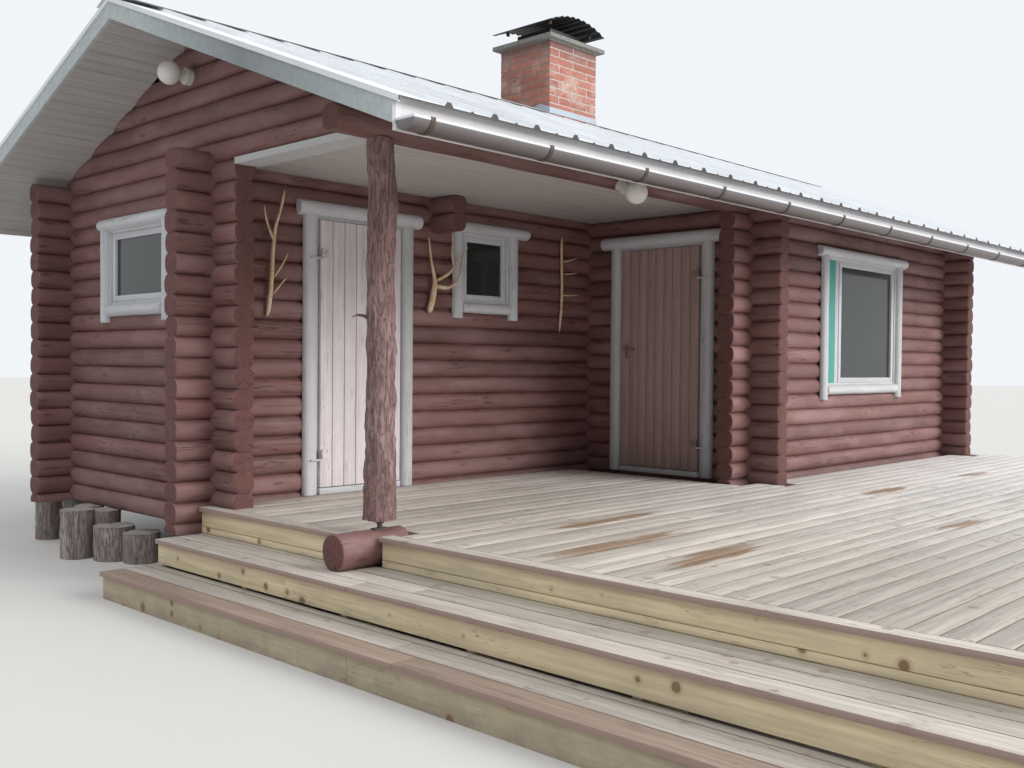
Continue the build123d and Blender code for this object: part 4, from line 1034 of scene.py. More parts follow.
def half_log(axis, start, end, side, base):
    """Lowest log of a wall along X: sawn flat underneath."""
    draw = random.Random(int(1000 * abs(side)) + 3)
    log = add_log(axis, start, end, side, base, draw)
    slice_off(log, at(0.0, 0.0, base), (0.0, 0.0, -1.0))
    return log


def roughen(piece, strength=None, size=0.16):
    """Wobble a wooden surface with soft noise."""
    texture = bpy.data.textures.get("wobble") or bpy.data.textures.new("wobble", "CLOUDS")
    texture.noise_scale = size
    apply_modifier(piece, "DISPLACE", texture=texture, strength=strength or logs().wobble, mid_level=0.5,
                   texture_coords="LOCAL")


def courses(first, last):
    """Lower seams from a height up to another."""
    step = logs().course
    count = round((last - first) / step)
    return [first + n * step for n in range(count)]


def finish_wall(parts, name, nodes, trim=False):
    """Join a wall's logs, wobble them and let them stand for the wall's nodes."""
    piece = join(parts, name)
    roughen(piece)
    if trim:
        trim_to_roof(piece)
    finish_piece(piece, "log", CABIN, nodes, 50.0)


def opening(node, axis):
    """Hole in a wall, from the infill below and above it: start, end, foot and head."""
    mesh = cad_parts[node].data
    places = coordinates(mesh) - np.array(HOUSE)
    along = places[:, 0 if axis == "X" else 1]
    heights = np.unique(np.round(places[:, 2], 4))
    steps = np.diff(heights)
    gap = int(np.argmax(steps))
    return float(along.min()), float(along.max()), float(heights[gap]), float(heights[gap + 1])


# start, end, foot and head of the hole
SMALL_WINDOW = (2.095, 2.635, 1.885, 2.445)
DOOR_LINING = 0.033


def door_and_window():
    """Holes in the porch's back wall: the left door's and the small window's."""
    low, high = span("left_door")
    foot = span("left_door_frame")[0][2]
    return (low[0] - DOOR_LINING, high[0] + DOOR_LINING + 0.004, foot, high[2] + 0.034), SMALL_WINDOW


class CABIN_OT_log_walls(bpy.types.Operator):
    """Stack the round logs of every wall and gable"""
    bl_idname = "cabin.log_walls"
    bl_label = "Log Walls"

    def execute(self, context):
        gable_window = opening("gable_wall_infill", "Y")
        side_door = opening("side_wall_infill", "Y")
        front_window = opening("front_wall_infill", "X")
        along_y = courses(WALL_BASE, WALL_TOP)
        along_x = courses(WALL_BASE + HALF_COURSE, PLATE_TOP)
        right_end = RIGHT_X + STUB
        finish_wall(wall_logs("Y", -STUB, BACK_Y + STUB, 0.0, along_y, [gable_window]), "gable_logs",
                    ["gable_wall", "gable_wall_infill"])
        recess_end = SIDE_X + WALL_HALF
        parts = wall_logs("X", -STUB, recess_end, 0.0, along_x, door_and_window(), (True, False))
        parts.append(half_log("X", -STUB, recess_end, 0.0, WALL_BASE))
        finish_wall(parts, "porch_back_logs", ["recess_wall", "recess_wall_infill"])
        finish_wall(wall_logs("Y", FRONT_Y - STUB, 0.0, SIDE_X, along_y, [side_door], (True, False)),
                    "porch_side_logs", ["side_wall", "side_wall_infill"])
        parts = wall_logs("X", SIDE_X - STUB, right_end, FRONT_Y, along_x[:-1], [front_window])
        parts.append(half_log("X", SIDE_X - STUB, right_end, FRONT_Y, WALL_BASE))
        finish_wall(parts, "front_logs", ["front_wall", "front_wall_infill"])
        finish_wall(wall_logs("Y", FRONT_Y - STUB, BACK_Y + STUB, RIGHT_X, along_y), "right_gable_logs",
                    ["right_gable_wall"])
        parts = wall_logs("X", -STUB, right_end, BACK_Y, along_x)
        parts.append(half_log("X", -STUB, right_end, BACK_Y, WALL_BASE))
        parts += wall_logs("X", BUTT, RIGHT_X - BUTT, BACK_Y, [PLATE_TOP], (), (False, False))
        finish_wall(parts, "back_logs", ["back_wall"], True)
        parts = wall_logs("X", -STUB, right_end, FRONT_Y, [PLATE_BASE])
        parts += wall_logs("X", BUTT, RIGHT_X - BUTT, FRONT_Y, [PLATE_TOP], (), (False, False))
        finish_wall(parts, "eaves_logs", ["eaves_log"], True)
        top_courses = courses(WALL_TOP, WALL_TOP + CROWN_COURSES * logs().course)
        for name, node, x in (("left_gable_crown", "left_gable_top", 0.0),
                              ("right_gable_crown", "right_gable_top", RIGHT_X)):
            parts = wall_logs("Y", FRONT_Y, BACK_Y, x, top_courses, (), (False, False))
            finish_wall(parts, name, [node], True)
        finish_wall(wall_logs("Y", -STUB, BACK_Y, centre_of("tie_beam", 0), courses(TIE_BASE, WALL_TOP), (),
                              (True, False)), "tie_logs", ["tie_beam"])
        return {"FINISHED"}


class CABIN_OT_post(bpy.types.Operator):
    """Raise the barked post on its short log"""
    bl_idname = "cabin.post"
    bl_label = "Post"

    radius = 0.083
    screw_inset = 0.047
    heights = (0.0, 0.12, 0.4, 0.7, 0.82, 0.9, 1.0)
    swell = (1.12, 1.02, 0.95, 0.90, 0.97, 0.90, 0.88)
    lean_heights = (0.0, 0.4, 0.7, 0.83, 0.92, 1.0)
    lean = (0.0, 0.004, -0.004, 0.012, -0.006, -0.012)
    twig_way = (-0.69, 0.72)
    twig = ((0.05, 1.64), (0.09, 1.663), (0.125, 1.668), (0.155, 1.658))

    def execute(self, context):
        low, high = span("post")
        screw_low, screw_high = span("post_screw")
        centre_x = high[0] - (screw_high[0] - screw_low[0]) / 2 - self.screw_inset
        centre_y = centre_of("post", 1)
        height = high[2] - low[2]
        deselect()
        bpy.ops.mesh.primitive_cylinder_add(vertices=28, radius=self.radius, depth=height,
                                            location=at(centre_x, centre_y, (low[2] + high[2]) / 2),
                                            end_fill_type="TRIFAN")
        post = bpy.context.active_object
        settle(post)
        edit_edges(post, lambda a, b: abs(a.z - b.z) > 0.5 * height, bpy.ops.mesh.subdivide, number_cuts=60)
        places = coordinates(post.data)
        middle_point = np.array(at(centre_x, centre_y, 0.0))
        share = (places[:, 2] - low[2]) / height
        swell = np.interp(share, self.heights, self.swell)
        for axis in (0, 1):
            places[:, axis] = middle_point[axis] + (places[:, axis] - middle_point[axis]) * swell
        places[:, 0] += np.interp(share, self.lean_heights, self.lean)
        write_coordinates(post.data, places)
        bark = bpy.data.textures.new("bark", "STUCCI")
        bark.noise_scale = 0.045
        apply_modifier(post, "DISPLACE", texture=bark, strength=0.012, mid_level=0.6, texture_coords="LOCAL")
        roughen(post, 0.02, 0.12)
        mark_timber(post.data, 0.4, UPRIGHT, middle_point)
        paint(post, "post_bark")
        twig = add_stick([at(centre_x + d * self.twig_way[0], centre_y + d * self.twig_way[1], z)
                          for d, z in self.twig], (0.012, 0.009, 0.007, 0.004))
        mark_timber(twig.data, 0.7)
        paint(twig, "post_bark")
        post = join([post, twig], "porch_post")
        finish_piece(post, "bark", CABIN, ["post"], 60.0)
        foot_low, foot_high = span("footing_log")
        draw = random.Random(11)
        radius = (foot_high[1] - foot_low[1]) / 2
        log = add_log("X", foot_low[0], foot_high[0], centre_of("footing_log", 1),
                      foot_high[2] - radius + 0.002, draw, radius)
        slice_off(log, at(0.0, 0.0, foot_low[2]), (0.0, 0.0, -1.0))
        log = join([log], "footing_round")
        roughen(log, 0.008)
        finish_piece(log, "log", CABIN, ["footing_log"], 50.0)
        return {"FINISHED"}


class CABIN_OT_stumps(bpy.types.Operator):
    """Stand the log rounds along the gable's foot"""
    bl_idname = "cabin.stumps"
    bl_label = "Log Rounds"

    # x, y, radius and height of each
    rounds = ((-0.107, 2.316, 0.100, 0.330), (-0.100, 1.620, 0.105, 0.330), (-0.110, 1.330, 0.105, 0.330),
              (-0.300, 1.370, 0.115, 0.345), (-0.140, 1.130, 0.140, 0.240), (-0.050, 0.900, 0.125, 0.210))
    tallest = 0.345

    def execute(self, context):
        draw = random.Random(23)
        parts = []
        for x, y, radius, height in self.rounds:
            deselect()
            bpy.ops.mesh.primitive_cylinder_add(vertices=22, radius=radius, depth=height,
                                                end_fill_type="NGON")
            obj = bpy.context.active_object
            settle(obj)
            edit_edges(obj, lambda a, b: abs(a.z - b.z) > 0.5 * height, bpy.ops.mesh.subdivide,
                       number_cuts=5)
            edit_faces(obj, lambda face: len(face.vertices) > 4, bpy.ops.mesh.inset, thickness=0.012)
            edit_faces(obj, lambda face: len(face.vertices) > 4, bpy.ops.mesh.poke)
            paint(obj, "stump_bark", "cut_wood")
            for face in obj.data.polygons:
                face.material_index = END if abs(face.normal.z) > END_NORMAL else SIDE
            mark_timber(obj.data, draw.random(), UPRIGHT)
            obj.data.transform(Matrix.Translation(at(x, y, height / 2)))
            parts.append(obj)
        piece = join(parts, "log_rounds")
        roughen(piece, 0.016, 0.05)
        places = coordinates(piece.data)
        places[:, 2] = np.clip(places[:, 2], 0.0, self.tallest)
        write_coordinates(piece.data, places)
        finish_piece(piece, "bark", CABIN, ["foot_stumps"], 50.0)
        return {"FINISHED"}


# Boards

BOARD_MASTERS = {}
X_TO_Z = Matrix(((0, 1, 0, 0), (0, 0, 1, 0), (1, 0, 0, 0), (0, 0, 0, 1)))


def board_master(width, thickness):
    """Board one metre long along X with rounded edges."""
    key = (round(width, 4), round(thickness, 4))
    if key not in BOARD_MASTERS:
        obj = add_box((-0.5, -width / 2, -thickness / 2), (0.5, width / 2, thickness / 2), boards().edge, 2)
        BOARD_MASTERS[key] = obj
    return BOARD_MASTERS[key]


def add_board(axis, start, end, low, high, material, draw, lift=0.0):
    """Board along X, Y or Z: low and high are its corners on the two other axes, in order."""
    across = high[0] - low[0]
    deep = high[1] - low[1]
    obj = copy_of(board_master(across, deep))
    mesh = obj.data
    stretch(mesh, end - start)
    mark_timber(mesh, draw.random())
    centre = ((start + end) / 2, (low[0] + high[0]) / 2, (low[1] + high[1]) / 2 + lift)
    if axis == "X":
        place = centre
    elif axis == "Y":
        mesh.transform(Matrix.Rotation(math.pi / 2, 4, "Z"))
        place = (centre[1], centre[0], centre[2])
    else:
        mesh.transform(X_TO_Z)
        place = (centre[1], centre[2], centre[0])
    mesh.transform(Matrix.Translation(at(*place)))
    paint(obj, material)
    return obj


SHORTEST_END = 0.4


def cut_points(start, end, draw, shortest=1.8, longest=4.2):
    """Butt joints along a run of boards."""
    points = [start]
    while end - points[-1] > longest:
        points.append(points[-1] + draw.uniform(shortest, longest))
    if end - points[-1] < SHORTEST_END and len(points) > 1:
        points.pop()
    return points + [end]


LEAST_STRETCH = 0.03


def minus(spans_now, low, high):
    """Take a stretch out of some spans."""
    out = []
    for a, b in spans_now:
        if high <= a or low >= b:
            out.append((a, b))
            continue
        if low - a > LEAST_STRETCH:
            out.append((a, low))
        if b - high > LEAST_STRETCH:
            out.append((high, b))
    return out


class CABIN_OT_deck(bpy.types.Operator):
    """Lay the terrace, the porch deck and the treads board by board"""
    bl_idname = "cabin.deck"
    bl_label = "Terrace and Treads"

    terrace_edge = -0.075
    tread_lap = 0.047
    tread_width = 0.145
    corner_clear = 0.085
    wall_clear = 0.078
    stub_clear = 0.33
    foot_clear = 0.004
    butt = 0.003
    unevenness = 0.0012
    least_overlap = 0.02
    inside_wall = 0.2
    corner_stack = 0.08
    porch_side = -0.13

    def execute(self, context):
        b = boards()
        draw = random.Random(31)
        low, high = span("deck_boards")
        floor = (low[2], high[2])
        porch_edge = low[0]
        foot_low, foot_high = span("footing_log")
        foot_y = (foot_low[1] - self.foot_clear, foot_high[1] + self.foot_clear)
        wall, stub, corner = self.wall_clear, self.stub_clear, self.corner_clear
        holes = [(-self.corner_stack, self.corner_stack, -stub, 0.0),
                 (foot_low[0], foot_high[0] + self.foot_clear, *foot_y),
                 (SIDE_X - stub, RIGHT_X + stub, FRONT_Y - wall, self.inside_wall),
                 (SIDE_X - corner, SIDE_X + corner, FRONT_Y - stub, FRONT_Y),
                 (RIGHT_X - corner, RIGHT_X + corner, FRONT_Y - stub, FRONT_Y),
                 (SIDE_X - wall, RIGHT_X + 1.0, FRONT_Y, self.inside_wall)]
        parts = []
        y = high[1]
        while y > low[1] + self.least_overlap:
            width = min(b.deck_pitch, y - low[1]) - b.gap
            y0, y1 = y - b.gap - width, y - b.gap
            edge = porch_edge if y1 > FRONT_Y else self.terrace_edge
            run = [(edge + b.nose, high[0])]
            for hx0, hx1, hy0, hy1 in holes:
                if y0 < hy1 - self.least_overlap and y1 > hy0 + self.least_overlap:
                    run = minus(run, hx0, hx1)
            for a, c in run:
                points = cut_points(a, c, draw)
                for s, e in zip(points, points[1:]):
                    parts.append(add_board("X", s, e - self.butt, (y0, floor[0]), (y1, floor[1]), "deck",
                                           draw, lift=draw.uniform(-self.unevenness, 0.0)))
            y -= b.deck_pitch
        for edge, y0, y1 in ((porch_edge, foot_y[1], high[1]), (self.terrace_edge, low[1], foot_y[0])):
            points = cut_points(y0, y1, draw)
            for s, e in zip(points, points[1:]):
                parts.append(add_board("Y", s, e - self.butt, (edge, floor[0]),
                                       (edge + b.nose - b.gap, floor[1]), "deck", draw))
        finish_piece(join(parts, "terrace_planks"), "deck", CABIN, ["deck_boards"])
        for node, name in (("middle_tread", "middle_tread_planks"), ("lower_tread", "lower_tread_planks")):
            parts = []
            low, high = span(node)
            x = low[0]
            reach = self.terrace_edge + self.tread_lap if node == "middle_tread" else high[0]
            while x < reach - LEAST_STRETCH:
                x1 = min(x + self.tread_width, reach)
                worn = x == low[0] and node == "lower_tread"
                y1 = high[1] if x < self.porch_side else foot_y[1]
                points = cut_points(low[1], y1, draw, 2.2, 4.0)
                for s, e in zip(points, points[1:]):
                    parts.append(add_board("Y", s, e - self.butt, (x, low[2]), (x1 - b.gap, high[2]),
                                           "worn_tread" if worn else "deck", draw,
                                           lift=draw.uniform(-self.unevenness, 0.0)))
                x = x1
            finish_piece(join(parts, name), "deck", CABIN, [node])
        return {"FINISHED"}


class CABIN_OT_risers(bpy.types.Operator):
    """Nail the yellow riser boards"""
    bl_idname = "cabin.risers"
    bl_label = "Risers and Frame"

    thickness = 0.025
    butt = 0.002
    foot_clear = 0.004
    set_back = 0.095

    def execute(self, context):
        draw = random.Random(37)
        foot_low, foot_high = span("footing_log")
        for node, name in (("upper_riser", "upper_riser_boards"), ("middle_riser", "middle_riser_boards"),
                           ("lower_riser", "lower_riser_boards")):
            parts = []
            low, high = span(node)
            boards_of = {"upper_riser": ((0.332, 0.369), (0.372, high[2])),
                         "middle_riser": ((0.180, high[2]),), "lower_riser": ((low[2], high[2]),)}
            # The lowest riser takes the darker pine copy, painted shade.
            wood = "aged_riser" if node == "lower_riser" else "riser_wood"
            runs = [(low[0], low[1], high[1])]
            if node == "upper_riser":
                runs = [(low[0], foot_high[1] + self.foot_clear, high[1]),
                        (low[0] + self.set_back, low[1], foot_low[1] - self.foot_clear)]
            for x, y0, y1 in runs:
                points = cut_points(y0, y1, draw, 2.4, 4.4)
                for s, e in zip(points, points[1:]):
                    for z0, z1 in boards_of[node]:
                        parts.append(add_board("Y", s, e - self.butt, (x, z0), (x + self.thickness, z1),
                                               wood, draw))
            finish_piece(join(parts, name), "riser_wood", CABIN, [node])
        return {"FINISHED"}


# Doors and windows

def add_half_round(axis, start, end, centre, width, depth, face, outward, draw):
    """Half log on a wall's face: centre and width across it, depth out of it, along X, Y or Z."""
    obj = copy_of(log_master(max(2, round((end - start) / 0.16)), True))
    mesh = obj.data
    stretch(mesh, end - start)
    mesh.transform(Matrix.Rotation(draw.choice((0.0, math.pi)), 4, "X"))
    mesh.transform(Matrix.Diagonal((1.0, width / 2 / logs().half_width, depth / logs().half_height, 1.0)))
    mark_timber(mesh, draw.random())
    slice_off(obj, (0.0, 0.0, 0.0), (0.0, 0.0, -1.0))
    out = Vector(outward)
    along = {"X": Vector((1, 0, 0)), "Y": Vector((0, 1, 0)), "Z": Vector((0, 0, 1))}[axis]
    across = out.cross(along)
    mesh.transform(Matrix((along, across, out)).transposed().to_4x4())
    place = along * ((start + end) / 2) + across * centre * (1 if sum(across) > 0 else -1) + out * face
    mesh.transform(Matrix.Translation(at(*place)))
    paint(obj, "casing", "casing")
    return obj


class WallFace:
    """Puts joinery on a wall: u runs to the right as seen from outside, z up, d out of the wall's centre."""

    def __init__(self, facing, offset):
        self.front = facing == "front"
        self.offset = offset
        self.sign = 1 if self.front else -1
        self.outward = (0, -1, 0) if self.front else (-1, 0, 0)

    def reach(self, node):
        """Where a node starts and ends along the wall."""
        low, high = span(node)
        return (low[0], high[0]) if self.front else (-high[1], -low[1])

    def point(self, u, z, d):
        if self.front:
            return (u, self.offset - d, z)
        return (self.offset - d, -u, z)

    def box(self, u, z, d, material, draw, edge=0.003):
        """Board between (u0, u1), (z0, z1) and (d0, d1), its grain along its longer side."""
        a = self.point(u[0], z[0], d[1])
        b = self.point(u[1], z[1], d[0])
        low = tuple(min(p, q) for p, q in zip(a, b))
        high = tuple(max(p, q) for p, q in zip(a, b))
        obj = add_box(low, high, edge, 2)
        lying = (0, 1, 2) if self.front else (1, 0, 2)
        mark_timber(obj.data, draw.random(), UPRIGHT if (z[1] - z[0]) > (u[1] - u[0]) else lying)
        obj.data.transform(Matrix.Translation(HOUSE))
        paint(obj, material)
        return obj

    def upright(self, u, z0, z1, width, depth, draw, base=WALL_HALF):
        """Standing half log."""
        return add_half_round("Z", z0, z1, self.sign * u, width, depth, base - self.offset, self.outward,
                              draw)

    def lying(self, u0, u1, z, width, depth, draw, base=WALL_HALF):
        """Lying half log."""
        start, end = sorted((self.sign * u0, self.sign * u1))
        return add_half_round("X" if self.front else "Y", start, end, z, width, depth, base - self.offset,
                              self.outward, draw)


LINING = 0.028
SASH = 0.045
MULLION = 0.075
CASING_DEPTH = 0.043
HEADER_DEPTH = 0.062
HEADER_BASE = 0.07


def window_parts(wall, u0, u1, z0, z1, header, draw, vent):
    """Lining, sash and casings of one window."""
    lap = 0.010
    casing = 0.105
    sill = 0.085
    head = 0.092
    out = casing / 2 - lap
    inner_z = (z0 + LINING, z1 - LINING)
    parts = []
    for a, b in ((u0, u0 + LINING), (u1 - LINING, u1)):
        parts.append(wall.box((a, b), (z0, z1), (-0.072, 0.078), "casing", draw))
    for a, b in ((z0, z0 + LINING), (z1 - LINING, z1)):
        parts.append(wall.box((u0 + LINING, u1 - LINING), (a, b), (-0.072, 0.077), "casing", draw))
    left = u0 + LINING
    if vent:
        left += vent + MULLION
        parts.append(wall.box((left - MULLION, left), inner_z, (-0.07, 0.06), "casing", draw))
    for a, b in ((left, left + SASH), (u1 - LINING - SASH, u1 - LINING)):
        parts.append(wall.box((a, b), inner_z, (0.022, 0.067), "casing", draw))
    for a, b in ((z0 + LINING, z0 + LINING + SASH), (z1 - LINING - SASH, z1 - LINING)):
        parts.append(wall.box((left + SASH, u1 - LINING - SASH), (a, b), (0.022, 0.0665), "casing", draw))
    for u in (u0 - out, u1 + out):
        parts.append(wall.upright(u, z0 - sill - 0.035, z1 - lap + 0.02, casing, CASING_DEPTH, draw))
    parts.append(wall.lying(u0 + 0.002, u1 - 0.002, z0 + lap - sill / 2, sill, 0.045, draw))
    parts.append(wall.lying(*header, z1 - lap + head / 2, head, HEADER_DEPTH, draw, HEADER_BASE))
    return parts


class CABIN_OT_windows(bpy.types.Operator):
    """Fit the windows' linings, sashes and half log casings"""
    bl_idname = "cabin.windows"
    bl_label = "Windows"

    def execute(self, context):
        draw = random.Random(43)
        y0, y1, *gable_heights = opening("gable_wall_infill", "Y")
        vent_low, vent_high = span("vent_screen")
        for name, wall, hole, vent in (
                ("gable_window", WallFace("left", 0.0), (-y1, -y0, *gable_heights), 0.0),
                ("small_window", WallFace("front", 0.0), SMALL_WINDOW, 0.0),
                ("front_window", WallFace("front", FRONT_Y), opening("front_wall_infill", "X"),
                 vent_high[0] - vent_low[0])):
            frame_node = name + "_frame"
            piece = join(window_parts(wall, *hole, wall.reach(frame_node), draw, vent), name + "_joinery")
            roughen(piece, 0.006, 0.07)
            finish_piece(piece, "casing", CABIN, [frame_node], 45.0)
        return {"FINISHED"}


THRESHOLD = 0.044
STOP = 0.055
HINGE_GAP = 0.005
FREE_GAP = 0.009
HEAD_GAP = 0.006
DOOR_CASING = 0.112
DOOR_HEADER = 0.108


def door_parts(wall, hinge_u, free_u, foot, under, draw, sign):
    """Casings, lining, stops and threshold of a doorway; sign points from its hinges to its free edge."""
    parts = []
    u0, u1 = sorted((hinge_u, free_u))
    top = under + LINING
    for a, b in ((u0 - LINING, u0), (u1, u1 + LINING)):
        parts.append(wall.box((a, b), (foot, top), (-WALL_HALF, WALL_HALF), "casing", draw))
    parts.append(wall.box((u0, u1), (under, top), (-WALL_HALF, 0.0745), "casing", draw))
    parts.append(wall.box((u0 + 0.001, u1 - 0.001), (foot, foot + THRESHOLD), (-WALL_HALF, 0.099), "casing",
                          draw))
    for a, b in ((hinge_u, hinge_u + sign * 0.020), (free_u - sign * 0.024, free_u)):
        parts.append(wall.box(tuple(sorted((a, b))), (foot + THRESHOLD, under), (-WALL_HALF, STOP), "casing",
                              draw))
    parts.append(wall.box((u0, u1), (under - 0.021, under), (-WALL_HALF, STOP), "casing", draw))
    casing_top = under + LINING / 2
    for u in (hinge_u - sign * (0.020 + DOOR_CASING / 2), free_u + sign * (0.010 + DOOR_CASING / 2)):
        parts.append(wall.upright(u, foot, casing_top + 0.02, DOOR_CASING, CASING_DEPTH, draw))
    return parts, casing_top + DOOR_HEADER / 2


def hinge_parts(wall, hinge_u, height, sign, draw):
    """Plate and pin of one hinge on the frame."""
    low = height - 0.042
    plate_u = tuple(sorted((hinge_u - sign * 0.094, hinge_u - sign * 0.013)))
    arm_u = tuple(sorted((hinge_u - sign * 0.014, hinge_u + sign * 0.005)))
    plate = wall.box(plate_u, (low, low + 0.012), (0.082, 0.132), "casing", draw, 0.0015)
    arm = wall.box(arm_u, (low, low + 0.012), (0.1235, 0.1325), "casing", draw, 0.0015)
    deselect()
    bpy.ops.mesh.primitive_cylinder_add(vertices=16, radius=0.0049, depth=0.07, end_fill_type="TRIFAN",
                                        location=at(*wall.point(hinge_u, height - 0.001, 0.128)))
    pin = bpy.context.active_object
    settle(pin)
    paint(pin, "iron")
    return [plate, arm, pin]


def leaf_boards(wall, u0, u1, foot, head, material, draw, count, groove):
    """Door leaf: standing boards over a near-black backing that shows in each joint's groove as painted
    shade.
    """
    width = (u1 - u0 + groove) / count
    rim = 0.002
    parts = [wall.box((u0 + rim, u1 - rim), (foot + rim, head - rim), (0.061, 0.078), "door_back", draw)]
    for n in range(count):
        a = u0 + n * width
        parts.append(wall.box((a, a + width - groove), (foot, head), (0.0605, 0.0995), material, draw,
                              0.004))
    return parts


class CABIN_OT_doors(bpy.types.Operator):
    """Hang both boarded doors in their frames"""
    bl_idname = "cabin.doors"
    bl_label = "Doors"

    hinge_inset = 0.23

    def execute(self, context):
        draw = random.Random(47)
        for name, wall, sign, body, boards_in_leaf, groove in (
                ("left_door", WallFace("front", 0.0), 1, LEFT_LEAF, 7, 0.006),
                ("right_door", WallFace("left", SIDE_X), -1, RIGHT_LEAF, 9, 0.003)):
            foot, head = span(name)[0][2], span(name)[1][2]
            u0, u1 = wall.reach(name)
            hinge_edge, free_edge = (u0, u1) if sign > 0 else (u1, u0)
            hinge_u = hinge_edge - sign * HINGE_GAP
            threshold = span(name + "_frame")[0][2]
            parts, header = door_parts(wall, hinge_u, free_edge + sign * FREE_GAP, threshold,
                                       head + HEAD_GAP, draw, sign)
            parts.append(wall.lying(*wall.reach(name + "_frame"), header, DOOR_HEADER, HEADER_DEPTH, draw,
                                    HEADER_BASE))
            wood = join(parts, name + "_joinery")
            roughen(wood, 0.004, 0.07)
            iron = []
            for height in (foot + self.hinge_inset, head - self.hinge_inset):
                iron += hinge_parts(wall, hinge_u, height, sign, draw)
            finish_piece(join([wood] + iron, name + "_joinery"), "casing", CABIN, [name + "_frame"], 45.0)
            leaf = leaf_boards(wall, u0, u1, foot, head, name + "_paint", draw, boards_in_leaf, groove)
            finish_piece(join(leaf, name + "_boards"), name + "_paint", body, [name])
        return {"FINISHED"}


# Roof, chimney and lamps

class CABIN_OT_ceiling(bpy.types.Operator):
    """Board the porch ceiling"""
    bl_idname = "cabin.ceiling"
    bl_label = "Porch Ceiling"

    groove = 0.0007

    def execute(self, context):
        draw = random.Random(53)
        low, high = span("porch_ceiling")
        count = round((high[1] - low[1]) / boards().ceiling_pitch)
        width = (high[1] - low[1]) / count
        parts = []
        for n in range(count):
            y0, y1 = low[1] + n * width + self.groove, low[1] + n * width + width - self.groove
            parts.append(add_board("X", low[0], high[0], (y0, low[2]), (y1, high[2]), "ceiling", draw))
        finish_piece(join(parts, "ceiling_planks"), "soffit", CABIN, ["porch_ceiling"])
        return {"FINISHED"}


class CABIN_OT_chimney(bpy.types.Operator):
    """Lay the chimney's bricks above the roof round a plain shaft"""
    bl_idname = "cabin.chimney"
    bl_label = "Chimney"

    brick = (0.257, 0.123, 0.059)
    joint = 0.010
    inset = 0.003
    collar = (0.420, 0.400)
    lowest_course = 3.15

    def execute(self, context):
        draw = random.Random(59)
        low, high = span("chimney")
        high = (high[0], high[1], span("chimney_slab")[0][2])
        length, width, height = self.brick
        course = height + self.joint
        core = add_box(at(low[0] + self.inset, low[1] + self.inset, low[2]),
                       at(high[0] - self.inset, high[1] - self.inset, high[2]))
        mark_timber(core.data, 0.5)
        paint(core, "mortar")
        parts = [core]
        master = add_box((-length / 2, -width / 2, -height / 2), (length / 2, width / 2, height / 2), 0.004)
        for row in range(int((high[2] - self.lowest_course) / course)):
            z = high[2] - self.joint - height / 2 - row * course
            for axis in "XY":
                self.lay(parts, master, draw, row, z, low, high, axis)
        drop(master)
        slab_top = span("chimney_slab")[1][2]
        centre_x, centre_y = (low[0] + high[0]) / 2, (low[1] + high[1]) / 2
        half_x, half_y = self.collar[0] / 2, self.collar[1] / 2
        collar = add_box(at(centre_x - half_x, centre_y - half_y, slab_top - 0.002),
                         at(centre_x + half_x, centre_y + half_y, span("chimney")[1][2]), 0.006)
        mark_timber(collar.data, 0.2)
        paint(collar, "black_sheet")
        parts.append(collar)
        finish_piece(join(parts, "chimney_bricks"), "brick", CABIN, ["chimney"])
        return {"FINISHED"}

    def lay(self, parts, master, draw, row, z, low, high, axis):
        """One course on the two faces that run along an axis; corner bricks turn with each course."""
        length, width = self.brick[:2]
        a = 0 if axis == "X" else 1
        over = (row + a) % 2 == 0
        start = low[a] + (0.0 if over else width + self.joint)
        end = high[a] - (0.0 if over else width + self.joint)
        count = max(1, round((end - start + self.joint) / (length + self.joint)))
        size = (end - start + self.joint) / count - self.joint
        sides = (low[1 - a] + width / 2, high[1 - a] - width / 2)
        for n in range(count):
            middle_along = start + size / 2 + n * (size + self.joint)
            for side in sides:
                obj = copy_of(master)
                mesh = obj.data
                mesh.transform(Matrix.Diagonal((size / length, 1.0, 1.0, 1.0)))
                mark_timber(mesh, draw.random())
                if axis == "Y":
                    mesh.transform(Matrix.Rotation(math.pi / 2, 4, "Z"))
                place = (middle_along, side, z) if axis == "X" else (side, middle_along, z)
                mesh.transform(Matrix.Translation(at(*place)))
                paint(obj, "brick")
                parts.append(obj)


